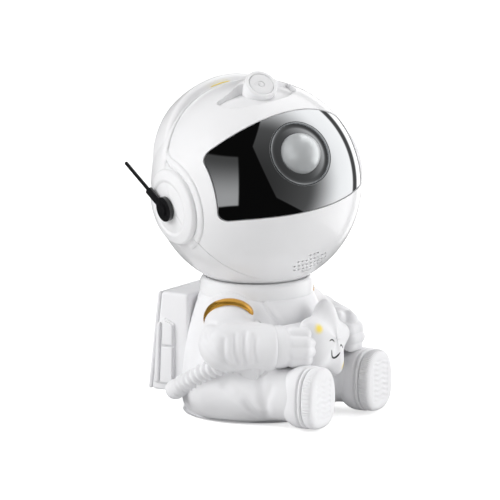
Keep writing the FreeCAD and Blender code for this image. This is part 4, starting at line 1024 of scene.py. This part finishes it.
def trunk_mesh(side):
    """Front (-1) or rear (1) half of the trunk with its wall and deck."""
    heights = np.linspace(FLOOR + 0.6, TRUNK_TOP - 0.8, 110)
    radii = TRUNK_CENTRE + np.sqrt(TRUNK_CURVE ** 2 - (heights - TRUNK_BULGE) ** 2)
    outer = list(zip(radii, heights))
    rim = [(radii[-1] - 0.7, TRUNK_TOP), (34.5, TRUNK_TOP), (33.4, TRUNK_TOP)]
    inner = [(33.4, 76.6), (36, 76.0), *[(r - 2.6, h) for r, h in outer[-8:3:-12]]]
    inner += [(radii[0] - 2.6, FLOOR), (radii[0] - 0.6, FLOOR), outer[0]]
    loop = np.array(outer + rim + inner)
    count = len(loop) - 1

    def place(u, v):
        angle = math.pi * u + (math.pi if side < 0 else 0.0)
        radius, height = read_rows(v, loop.T)
        points = np.column_stack([radius * np.cos(angle), radius * np.sin(angle), height])
        outside = v * count < len(outer) + 0.5
        laid = laid_on_suit(points[outside], "trunk", 3)
        laid[:, 1] = np.where(side < 0, np.minimum(laid[:, 1], 0), np.maximum(laid[:, 1], 0))
        points[outside] = laid
        return points

    return sheet(200, count, place)


def limb_mesh(name, runs, voxel):
    balls = []
    for start, end, start_radius, end_radius in runs:
        balls += string(start, end, start_radius, end_radius)
    return fit_to_suit(blob(balls, voxel), name)


def arm_mesh():
    reach = Vector(HAND) - Vector(WRIST)
    cuff = Vector(WRIST) + reach.normalized() * -6.0
    return limb_mesh("right_arm", [(SHOULDER, ELBOW, 14.4, 16.0), (ELBOW, cuff, 16.0, 15.2),
                                   (cuff, Vector(WRIST) - reach.normalized() * 4, 15, 14)], 0.75)


def leg_mesh():
    return limb_mesh("right_leg", [(HIP, ANKLE, 20.0, 16.4)], 0.85)


# right hand: start, end and radius of each finger part
FINGERS = [
    ((-33.6, -48.6, 60.6), (-28.3, -54.1, 60.3), 4.3),
    ((-36.5, -50.4, 55.2), (-31.2, -55.9, 54.9), 4.6),
    ((-37.4, -51.0, 49.4), (-32.1, -56.5, 49.1), 4.6),
    ((-36.0, -50.2, 43.6), (-30.9, -55.7, 43.3), 4.4),
    ((-31.2, -55.9, 54.9), (-24.5, -55.0, 54.0), 4.4),
    ((-32.1, -56.5, 49.1), (-25.5, -55.5, 48.4), 4.4),
    ((-30.9, -55.7, 43.3), (-26.0, -54.5, 43.5), 4.2),
]
THUMB = ((-31, -42, 60.0), (-22.5, -47.0, 61.0), 4.9)


def glove_field(points):
    aim = along_hand()
    palm = limb(points, np.array(WRIST) + 7 * aim, np.array(HAND), 12.0, 12.0)
    fingers = None
    for start, end, radius in FINGERS:
        finger = limb(points, start, end, radius, radius * 0.98)
        fingers = finger if fingers is None else smooth_min(fingers, finger, 0.7)
    hand = smooth_min(palm, fingers, 2.4)
    hand = smooth_min(hand, limb(points, *THUMB[:2], THUMB[2], THUMB[2]), 3.0)
    cuff = limb(points, np.array(WRIST) + 5.6 * aim, np.array(WRIST) + 6.4 * aim, 13.9, 13.7)
    return smooth_min(hand, cuff, 0.8)


def glove_mesh():
    """Mitten with its fingers marked, curled round the star toy."""
    aim = (Vector(HAND) - Vector(WRIST)).normalized()
    balls = string(Vector(WRIST) + 5.5 * aim, HAND, 13.0, 12.0, 8)
    for start, end, radius in [*FINGERS, THUMB]:
        balls += string(start, end, radius, radius, 8)
    bm = blob(balls, 0.65)
    set_coordinates(bm, settle(coordinates(bm), glove_field, 0.0, 6))
    bmesh.ops.recalc_face_normals(bm, faces=bm.faces)
    return bm


FOOT_X, FOOT_Z, FOOT_WIDTH, FOOT_HEIGHT = -34.5, 21.2, 16.6, 20.0


def foot_outline(angle, half_width, half_height, power=2.5):
    """Egg-shaped outline of a boot or sole, seen from the front."""
    c, s = np.cos(angle), np.sin(angle)
    x = np.sign(c) * np.abs(c) ** (2 / power) * half_width
    z = np.sign(s) * np.abs(s) ** (2 / power) * half_height
    return x * (1 - 0.04 * z / half_height), z


def tread(x, z):
    """Depth of the level ridges down the middle of a sole."""
    ridged = smooth_step(9.5 - np.abs(x), 0.0, 2.0) * smooth_step(14.0 - np.abs(z), 0.0, 2.0)
    wave = 0.5 + 0.5 * np.cos(math.tau * (z + 0.5 * np.sin(0.7 * x)) / 3.4)
    return 0.4 * ridged * wave


def foot_mesh(profile, columns, ribs=0.0):
    """Rings along the foot: (y, share of the outline) rows, with optional fine ribs."""
    rows = np.array(profile)

    def place(u, v):
        angle = math.tau * u
        y, share, rib_share = read_rows(v, rows.T)
        wave = 0.5 + 0.5 * np.cos(angle * bpy.context.scene.projector_sizes.sole_ribs)
        shrink = 1 - ribs * rib_share * (1 - wave ** 0.6)
        x, z = foot_outline(angle, FOOT_WIDTH, FOOT_HEIGHT)
        x, z = x * share * shrink, z * share * shrink
        y = y + np.where(y < -71.9, tread(x, z), 0.0)
        return np.column_stack([FOOT_X + x, y, FOOT_Z + z])

    return sheet(columns, len(rows) - 1, place)


def boot_profile():
    """Bulging upper, a groove and the welt."""
    rows = [(-45.0, 0.0, 0), (-45.0, 0.5, 0)]
    for t in np.linspace(0, 1, 24):
        rows.append((-45.5 - 14.5 * t, 0.70 + 0.30 * math.sin(math.pi / 2 * min(t * 1.15, 1)), 0))
    rows += [(-60.9, 0.985, 0), (-61.3, 0.94, 0), (-61.7, 0.915, 0), (-62.1, 0.94, 0),
             (-62.4, 0.985, 0), (-63.0, 1.0, 0), (-63.7, 0.995, 0), (-64.2, 0.97, 0),
             (-64.5, 0.93, 0), (-64.5, 0.5, 0), (-64.5, 0.0, 0)]
    return rows


def sole_profile():
    """Ribbed rim with rounded edges and a gently crowned tread."""
    rows = [(-64.5, 0.0, 0), (-64.5, 0.88, 0), (-64.7, 0.925, 0), (-65.1, 0.955, 0.3)]
    for t in np.linspace(0, 1, 9):
        rows.append((-65.4 - 4.4 * t, 0.97 + 0.015 * math.sin(math.pi * t), 1.0))
    rows += [(-70.4, 0.955, 0.8), (-71.0, 0.925, 0.5), (-71.5, 0.88, 0.2), (-71.8, 0.83, 0)]
    rows += [(-72.0, share, 0) for share in np.linspace(0.77, 0.0, 42)]
    return rows


def unit(vectors):
    return vectors / np.linalg.norm(vectors, axis=1)[:, None]


HOSE_ROUTE = [(-28, 41, 15.5), (-33, 40.5, 15.5), (-40, 36.5, 16.4), (-45, 31.8, 18.0),
              (-50.8, 24, 22.6), (-54.2, 14, 28.0), (-55.0, 4, 34.0), (-54.0, -7, 39.0),
              (-51.5, -14, 43.0)]


def smooth_route(route, count):
    """Even points on a smooth curve through a route."""
    points = np.array([route[0], *route, route[-1]], float)
    out = []
    for i in range(1, len(points) - 2):
        a, b, c, d = points[i - 1:i + 3]
        for t in np.linspace(0, 1, 40, endpoint=False):
            out.append(0.5 * (2 * b + (c - a) * t + (2 * a - 5 * b + 4 * c - d) * t * t
                              + (3 * b - 3 * c + d - a) * t ** 3))
    out = np.array(out + [points[-2]])
    walked = np.concatenate([[0], np.cumsum(np.linalg.norm(np.diff(out, axis=0), axis=1))])
    even_steps = np.linspace(0, walked[-1], count)
    return np.column_stack([np.interp(even_steps, walked, out[:, i]) for i in range(3)])


def hose_mesh():
    """Moulded corrugated hose with rounded ribs."""
    rings = bpy.context.scene.projector_sizes.hose_rings
    per_ring = 12
    count = rings * per_ring + 1
    path = smooth_route(HOSE_ROUTE, count)
    ahead = unit(np.gradient(path, axis=0))
    side = unit(np.cross(ahead, (0.0, 0.0, 1.0)))
    up = np.cross(side, ahead)

    def place(u, v):
        row = np.rint(v * (count + 1)).astype(int) - 1
        ended = (row < 0) | (row >= count)
        row = np.clip(row, 0, count - 1)
        wave = np.abs(np.cos(math.pi * row / per_ring)) ** 2.4
        radius = size("hose_radius") - size("hose_depth") * wave
        radius = np.where(ended, 0.0, radius)
        angle = math.tau * u
        return (path[row] + side[row] * (radius * np.cos(angle))[:, None]
                + up[row] * (radius * np.sin(angle))[:, None])

    return sheet(48, count + 1, place)


STAR_CENTRE, STAR_TURN, STAR_LEAN = (-6.0, -54.8, 53.0), math.radians(14), math.radians(8)
STAR = (Matrix.Translation(STAR_CENTRE) @ Matrix.Rotation(-STAR_LEAN, 4, "X")
        @ Matrix.Rotation(STAR_TURN, 4, "Y"))


def star_reach(angle):
    return 22.0 + 3.4 * np.cos(5 * angle) + 0.4 * np.cos(10 * angle)


def star_surface(angle, share):
    """Point on the puffed front of the star, from its middle (0) to its rim (1)."""
    reach = star_reach(angle)
    level = 9.8 * (reach / 25.5) ** 0.25
    depth = -level * np.sqrt(np.maximum(1 - share ** 2.3, 0.0))
    return np.column_stack([reach * share * np.sin(angle), depth, reach * share * np.cos(angle)])


def star_mesh():
    def place(u, v):
        angle = math.tau * u
        turn = math.pi * v
        share = np.sin(turn)
        points = star_surface(angle, share)
        points[:, 1] = np.where(v > 0.5, -points[:, 1], points[:, 1])
        return points
    return sheet(240, 96, place)


def star_lift(x, z):
    """Depth of the star's front under a place on its face."""
    angle = math.atan2(x, z)
    reach = float(star_reach(np.array([angle]))[0])
    return float(star_surface(np.array([angle]), np.array([math.hypot(x, z) / reach]))[0, 1])


# the eyes and the smile: centre, radius, start and end in degrees, half thickness
FACE_ARCS = [((-4.9, -3.3), 2.5, -60, 65, 0.5), ((6.0, -6.4), 3.0, -55, 70, 0.5),
             ((-0.6, -6.6), 5.2, 105, 262, 0.85)]


def face_mesh():
    """Closed eyes and a smile, printed thick on the star."""
    out, last = np.array([0.0, -1.0, 0.0]), 21
    strokes = []
    for (middle_x, middle_z), radius, start, end, thick in FACE_ARCS:
        turn = np.linspace(math.radians(start), math.radians(end), last + 1)
        spots = [(middle_x + radius * math.sin(a), middle_z + radius * math.cos(a)) for a in turn]
        path = np.array([(x, star_lift(x, z) - 0.02, z) for x, z in spots])
        side = unit(np.cross(unit(np.gradient(path, axis=0)), out))

        def place(u, v, path=path, side=side, thick=thick):
            row = np.rint(v * last).astype(int)
            taper = np.sqrt(np.clip(1 - (2 * v - 1) ** 2, 0.05, 1))
            angle = math.tau * u
            return (path[row] + side[row] * (thick * taper * np.cos(angle))[:, None]
                    + out * (0.16 * taper * np.sin(angle))[:, None])

        strokes.append(sheet(12, last, place))
    return join(*strokes)


# backpack: half width, ends in height, and the slanted back with its cover
PACK_HALF, PACK_LOW, PACK_TOP = 30.0, 12.5, 77.0
PACK_BACK_LOW, PACK_BACK_TOP, PACK_COVER = 64.0, 56.5, 3.0


def pack_mesh(near_low, near_top, far_low, far_top, half, low, top, bevel):
    """Tapered box with rounded edges, between a front and a back plane."""
    bm = bmesh.new()
    corners = []
    for y_low, y_top in ((near_low, near_top), (far_low, far_top)):
        corners.append([bm.verts.new((x, y, z)) for x, y, z in (
            (-half, y_low, low), (half, y_low, low), (half, y_top, top), (-half, y_top, top))])
    near, far = corners
    bm.faces.new(near)
    bm.faces.new(reversed(far))
    for i in range(4):
        j = (i + 1) % 4
        bm.faces.new((near[j], near[i], far[i], far[j]))
    bmesh.ops.recalc_face_normals(bm, faces=bm.faces)
    round_edges(bm, bm.edges[:], bevel, 8)
    return bm


def plate(outline, x_low, x_high, bevel):
    """Flat plate with rounded edges from a (y, z) outline."""
    bm = bmesh.new()
    face = bm.faces.new([bm.verts.new((x_low, y, z)) for y, z in outline])
    grown = bmesh.ops.extrude_face_region(bm, geom=[face])
    moved = [item for item in grown["geom"] if isinstance(item, bmesh.types.BMVert)]
    bmesh.ops.translate(bm, vec=(x_high - x_low, 0, 0), verts=moved)
    bmesh.ops.recalc_face_normals(bm, faces=bm.faces)
    round_edges(bm, bm.edges[:], bevel, 4)
    return bm


def pocket_mesh():
    """Side pocket: a base plate, a bright strip behind and two raised panels."""
    base = plate([(43.0, 17.5), (58.5, 17.5), (57.0, 44), (55.9, 56.2), (50.6, 60.2),
                  (43.0, 57.0)], -31.2, -29.0, 0.7)
    low_panel = plate([(43.6, 18.3), (52.8, 18.3), (51.6, 41.9), (43.6, 41.9)],
                      -32.9, -30.6, 0.6)
    top_panel = plate([(43.6, 42.9), (51.5, 42.9), (50.9, 56.5), (49.9, 58.7), (43.6, 56.1)],
                      -32.5, -30.6, 0.6)
    strip = plate([(54.0, 18.3), (57.6, 18.3), (55.1, 55.6), (52.6, 57.6)], -33.0, -30.6, 0.9)
    return join(base, low_panel, top_panel, strip)


def collar_mesh():
    corners = [(31.9, 77.0), (36.0, 77.0), (36.6, 82.0), (36.1, 86.4), (34.4, 88.1),
               (31.9, 88.1), (31.9, 77.0)]
    return lathe(rounded_profile(corners, 2.0, 5)[:-1], 128, ring=True)


RING_AXIS = Vector((-0.69, -0.44, -0.57))


def shoulder_ring_mesh():
    """Lacquered oval-section ring round the shoulder."""
    centre = Vector(SHOULDER) + RING_AXIS.normalized() * 3.0
    major, minor, stretch = 15.2, 1.5, 1.9
    section = [(major + minor * math.cos(a), stretch * minor * math.sin(a))
               for a in np.linspace(0, math.tau, 17)[:-1]]
    return lathe(section, 96, pointing(centre, RING_AXIS), ring=True)


# ---------------------------------------------------------------- operators

class PROJECTOR_OT_helmet(bpy.types.Operator):
    """Make the two glossy helmet shells, the headband and the ear covers"""
    bl_idname = "projector.helmet"
    bl_label = "Helmet"

    def execute(self, context):
        front = cut_from(front_shell_mesh(), grille_cutters())
        finish("front_shell", front, "head", "white_gloss", ["helmet_front_shell"], HELMET)
        rear = cut_from(rear_shell_mesh(), rear_cutters())
        finish("rear_shell", rear, "head", "white_gloss", ["helmet_rear_shell"], HELMET)
        finish("arch", headband_mesh(), "head", "white_gloss", ["headband"], HELMET, 50)
        finish("band_accent", accent_mesh(), "head", "gold", (), HELMET, look="star_yellow")
        for side, turn in (("left", 90), ("right", -90)):
            place = HELMET @ Matrix.Rotation(math.radians(turn), 4, "Y")
            finish(f"{side}_ear", ear_mesh(), "head", "white_gloss", [f"{side}_ear_pod"],
                   place, 50)
        return {"FINISHED"}


class PROJECTOR_OT_visor(bpy.types.Operator):
    """Make the smoked visor and the projection lens with its bowl and dome"""
    bl_idname = "projector.visor"
    bl_label = "Visor and lens"

    def execute(self, context):
        finish("visor_panel", visor_mesh(), "head", "visor_black", ["visor"], HELMET)
        finish("lens_dish", dish_mesh(), "head", "lens_blue", ["nebula_lens"], HELMET)
        finish("lens_dome", dome_mesh(), "head", "clear_lens", ["condenser_lens"], HELMET)
        finish("lens_bowl", bowl_mesh(), "head", "black_matte", ["lens_barrel"], HELMET,
               look="black_plastic")
        return {"FINISHED"}


class PROJECTOR_OT_pod(bpy.types.Operator):
    """Make the laser pod on the forehead and its round face"""
    bl_idname = "projector.pod"
    bl_label = "Laser pod"

    def execute(self, context):
        finish("pod_housing", pod_mesh(), "head", "white_gloss", ["laser_pod"], HELMET)
        finish("pod_window", window_mesh(), "head", "window_clear", ["laser_window"], HELMET)
        return {"FINISHED"}


class PROJECTOR_OT_suit(bpy.types.Operator):
    """Make the trunk, arms, legs and gloves of the suit"""
    bl_idname = "projector.suit"
    bl_label = "Suit"

    def execute(self, context):
        for label, side in (("front", -1), ("rear", 1)):
            finish(f"suit_{label}", trunk_mesh(side), "figure", "white_satin",
                   [f"trunk_{label}_shell"], sharp=60)
        for label, mesh in (("arm", arm_mesh), ("leg", leg_mesh), ("glove", glove_mesh)):
            both_sides(label, mesh, "white_satin", 70)
        return {"FINISHED"}


def both_sides(label, build, slot, sharp=50.0, node=None):
    """Right piece and its mirror image, each standing for its own node."""
    for side, place in (("right", FIGURE), ("left", MIRROR)):
        finish(f"{side}_{label}_skin", build(), "figure", slot, [f"{side}_{node or label}"],
               place, sharp)


class PROJECTOR_OT_boots(bpy.types.Operator):
    """Make the boots and their ribbed soles"""
    bl_idname = "projector.boots"
    bl_label = "Boots"

    def execute(self, context):
        both_sides("boot", lambda: foot_mesh(boot_profile(), 120), "white_satin")
        both_sides("sole", lambda: foot_mesh(sole_profile(), 576, 0.022), "white_satin", 60)
        return {"FINISHED"}


class PROJECTOR_OT_hoses(bpy.types.Operator):
    """Make the two corrugated hoses"""
    bl_idname = "projector.hoses"
    bl_label = "Hoses"

    def execute(self, context):
        both_sides("hose", hose_mesh, "hose_white", 80)
        return {"FINISHED"}


class PROJECTOR_OT_star(bpy.types.Operator):
    """Make the star toy and its smiling face"""
    bl_idname = "projector.star"
    bl_label = "Star toy"

    def execute(self, context):
        finish("star", star_mesh(), "figure", "star_white", ["star_toy"], STAR, 80)
        finish("star_face", face_mesh(), "figure", "black_plastic", (), STAR, 80, "black_matte")
        return {"FINISHED"}


class PROJECTOR_OT_backpack(bpy.types.Operator):
    """Make the backpack, its cover and the side pockets"""
    bl_idname = "projector.backpack"
    bl_label = "Backpack"

    def execute(self, context):
        body = pack_mesh(33, 33, PACK_BACK_LOW - PACK_COVER, PACK_BACK_TOP - PACK_COVER,
                         PACK_HALF, PACK_LOW, PACK_TOP, 2.2)
        finish("pack_body", body, "figure", "white_satin", ["backpack_body"])
        cover = pack_mesh(PACK_BACK_LOW - PACK_COVER + 0.15, PACK_BACK_TOP - PACK_COVER + 0.15,
                          PACK_BACK_LOW, PACK_BACK_TOP, PACK_HALF - 0.3, PACK_LOW + 0.3,
                          PACK_TOP - 0.3, 1.4)
        finish("pack_cover", cover, "figure", "white_satin", ["backpack_cover"])
        both_sides("pocket", pocket_mesh, "white_satin", node="side_pocket")
        return {"FINISHED"}


class PROJECTOR_OT_neck(bpy.types.Operator):
    """Make the collar and the shoulder rings"""
    bl_idname = "projector.neck"
    bl_label = "Collar and rings"

    def execute(self, context):
        finish("collar", collar_mesh(), "figure", "white_gloss", ["collar_ring"])
        both_sides("ring", shoulder_ring_mesh, "gold", node="shoulder_ring")
        return {"FINISHED"}


class PROJECTOR_OT_nodes(bpy.types.Operator):
    """Give every sub-part of the frame its finish"""
    bl_idname = "projector.nodes"
    bl_label = "Sub-part finishes"

    def execute(self, context):
        for entry in frame["record"]["subparts"]:
            item = frame["nodes"].get(entry["node"])
            if item is None:
                raise RuntimeError(f"no sub-part called {entry['node']}")
            item.data.materials.clear()
            item.data.materials.append(FINISHES[entry["material_slot"]])
        return {"FINISHED"}


# the camera: where it looks, in millimetres, and its axes
AIM = (-8.9, -0.4, 105.9)
CAMERA_BACK = Vector((-0.8302, -0.5269, 0.1822))
CAMERA_RIGHT = Vector((0.53583, -0.84433, 0.0))
CAMERA_UP = Vector((0.15387, 0.09765, 0.98325))


class PROJECTOR_OT_stage(bpy.types.Operator):
    """Set the floor, lamps, surroundings and camera"""
    bl_idname = "projector.stage"
    bl_label = "Stage"

    def execute(self, context):
        floor_bm = bmesh.new()
        bmesh.ops.create_grid(floor_bm, x_segments=4, y_segments=4, size=3000.0)
        bmesh.ops.transform(floor_bm, matrix=Matrix.Scale(MM, 4), verts=floor_bm.verts)
        mesh = bpy.data.meshes.new("floor")
        floor_bm.to_mesh(mesh)
        floor_bm.free()
        floor = bpy.data.objects.new("floor", mesh)
        context.scene.collection.objects.link(floor)
        mesh.materials.append(floor_material())
        floor.visible_glossy = False
        lamp("key", (-0.6, 0.55, 0.5), 2.4, 1.5, 51.0)
        lamp("front", (0.15, -0.95, 0.25), 2.6, 1.6, 29.0)
        lamp("top", (0.0, 0.1, 1.0), 2.2, 2.0, 10.0)
        lamp("fill", (-0.8, -0.55, 0.2), 3.0, 2.0, 9.0)
        surroundings(context.scene)
        camera(context.scene)
        context.scene.view_settings.view_transform = "Standard"
        return {"FINISHED"}


def lamp(name, direction, distance, width, power):
    """Soft square lamp aimed at the figure; it leaves no patch in glossy surfaces."""
    light = bpy.data.lights.new(name, "AREA")
    light.shape = "SQUARE"
    light.size = width
    light.energy = power
    item = bpy.data.objects.new(name, light)
    bpy.context.scene.collection.objects.link(item)
    away = Vector(direction).normalized()
    item.matrix_world = pointing(Vector((0, 0, 0.1)) + away * distance, away)
    item.visible_glossy = False
    return item


def floor_material():
    """Pale floor that the camera sees white away from the figure's shadow."""
    material, principled = shader("floor_white")
    tree = material.node_tree
    principled.inputs["Base Color"].default_value = (0.82, 0.82, 0.82, 1)
    gloss = spread(tree, noise(tree, 3), 0.75, 0.85)
    tree.links.new(gloss, principled.inputs["Roughness"])
    path = tree.nodes.new("ShaderNodeLightPath")
    lift = math_node(tree, "MULTIPLY", path.outputs["Is Camera Ray"], 0.6)
    principled.inputs["Emission Color"].default_value = (1, 1, 1, 1)
    tree.links.new(lift, principled.inputs["Emission Strength"])
    return material


def math_node(tree, operation, *values):
    return add(tree, "ShaderNodeMath", dict(enumerate(values)), "Value", operation=operation)


def surroundings(scene):
    """White backdrop; shiny surfaces see a dark room with a window and a softbox.

    Directions are split along the camera's axes, so both keep their places in the visor.
    """
    world = bpy.data.worlds.new("studio")
    scene.world = world
    world.use_nodes = True
    tree = world.node_tree
    place = tree.nodes.new("ShaderNodeTexCoord").outputs["Generated"]

    def calc(operation, *values):
        return math_node(tree, operation, *values)

    def rise(*values):
        return ramp_up(tree, *values)

    right, up, back = (
        add(tree, "ShaderNodeVectorMath", {0: place, 1: axis}, "Value", operation="DOT_PRODUCT")
        for axis in (CAMERA_RIGHT, CAMERA_UP, CAMERA_BACK))

    # window: a bent left edge, a sloping sill, brighter towards the front, and a dark post
    above = calc("SUBTRACT", up, 0.656)
    slant = calc("MAXIMUM", calc("MULTIPLY", above, 0.43), calc("MULTIPLY", above, -0.475))
    side = calc("ADD", calc("SUBTRACT", right, slant), 0.07)
    sill = calc("ADD", calc("MULTIPLY_ADD", right, 0.49, up), 0.089)
    window = calc("MULTIPLY", rise(side, -0.012, 0.012), rise(sill, -0.012, 0.012))
    level = calc("ADD", rise(back, 0.5, -0.35, 1.45, 0.0),
                 calc("MULTIPLY_ADD", back, -0.15, 0.2))
    post = calc("ABSOLUTE", calc("ADD", back, 0.77))
    window = calc("MULTIPLY", calc("MULTIPLY", window, level), rise(post, 0.045, 0.1, 1.0, 0.06))

    # softbox: an upright panel on the left that fades upwards
    beside = calc("ABSOLUTE", calc("ADD", right, 0.62))
    beyond = calc("ABSOLUTE", calc("SUBTRACT", up, 0.03))
    softbox = calc("MULTIPLY", rise(beside, 0.3, 0.26), rise(beyond, 0.46, 0.42))
    for fade in (rise(back, 0, 0.1), rise(up, 0.45, -0.3, 0.62, 0.1)):
        softbox = calc("MULTIPLY", softbox, fade)

    room = calc("ADD", calc("ADD", window, softbox), 0.006)
    path = tree.nodes.new("ShaderNodeLightPath")
    seen = calc("MAXIMUM", path.outputs["Is Camera Ray"], path.outputs["Is Transmission Ray"])
    backdrop = blend_colours(tree, seen, room, (1, 1, 1))
    tree.links.new(backdrop, tree.nodes["Background"].inputs["Color"])
    tree.nodes["Background"].inputs["Strength"].default_value = 1.0


def camera(scene):
    """Long-lens view from the figure's right front."""
    data = bpy.data.cameras.new("view")
    data.lens = 564.3
    data.sensor_width = 36.0
    data.clip_end = 20.0
    item = bpy.data.objects.new("view", data)
    scene.collection.objects.link(item)
    spot = Vector(AIM) * MM + CAMERA_BACK * 5.0
    axes = Matrix((CAMERA_RIGHT, CAMERA_UP, CAMERA_BACK)).transposed().to_4x4()
    item.matrix_world = Matrix.Translation(spot) @ axes
    scene.camera = item


PIECES = (PROJECTOR_OT_nodes, PROJECTOR_OT_helmet, PROJECTOR_OT_visor, PROJECTOR_OT_pod,
          PROJECTOR_OT_neck, PROJECTOR_OT_suit, PROJECTOR_OT_boots, PROJECTOR_OT_hoses,
          PROJECTOR_OT_star, PROJECTOR_OT_backpack, PROJECTOR_OT_stage)


class PROJECTOR_PT_panel(bpy.types.Panel):
    """Lists the operators that make the projector"""
    bl_label = "Star projector"
    bl_idname = "PROJECTOR_PT_panel"
    bl_space_type = "VIEW_3D"
    bl_region_type = "UI"
    bl_category = "Projector"

    def draw(self, context):
        for piece in PIECES:
            self.layout.operator(piece.bl_idname)
        for group in (context.scene.projector_sizes, context.scene.projector_colours):
            for name in group.bl_rna.properties.keys():
                if name not in ("rna_type", "name"):
                    self.layout.prop(group, name)


def register():
    for group in (ProjectorSizes, ProjectorColours, *PIECES, PROJECTOR_PT_panel):
        bpy.utils.register_class(group)
    bpy.types.Scene.projector_sizes = PointerProperty(type=ProjectorSizes)
    bpy.types.Scene.projector_colours = PointerProperty(type=ProjectorColours)


def unregister():
    del bpy.types.Scene.projector_colours
    del bpy.types.Scene.projector_sizes
    for group in (PROJECTOR_PT_panel, *reversed(PIECES), ProjectorColours, ProjectorSizes):
        bpy.utils.unregister_class(group)


def main():
    register()
    FINISHES.update(build_finishes())
    for piece in PIECES:
        group, name = piece.bl_idname.split(".")
        getattr(getattr(bpy.ops, group), name)()


if __name__ == "__main__":
    main()
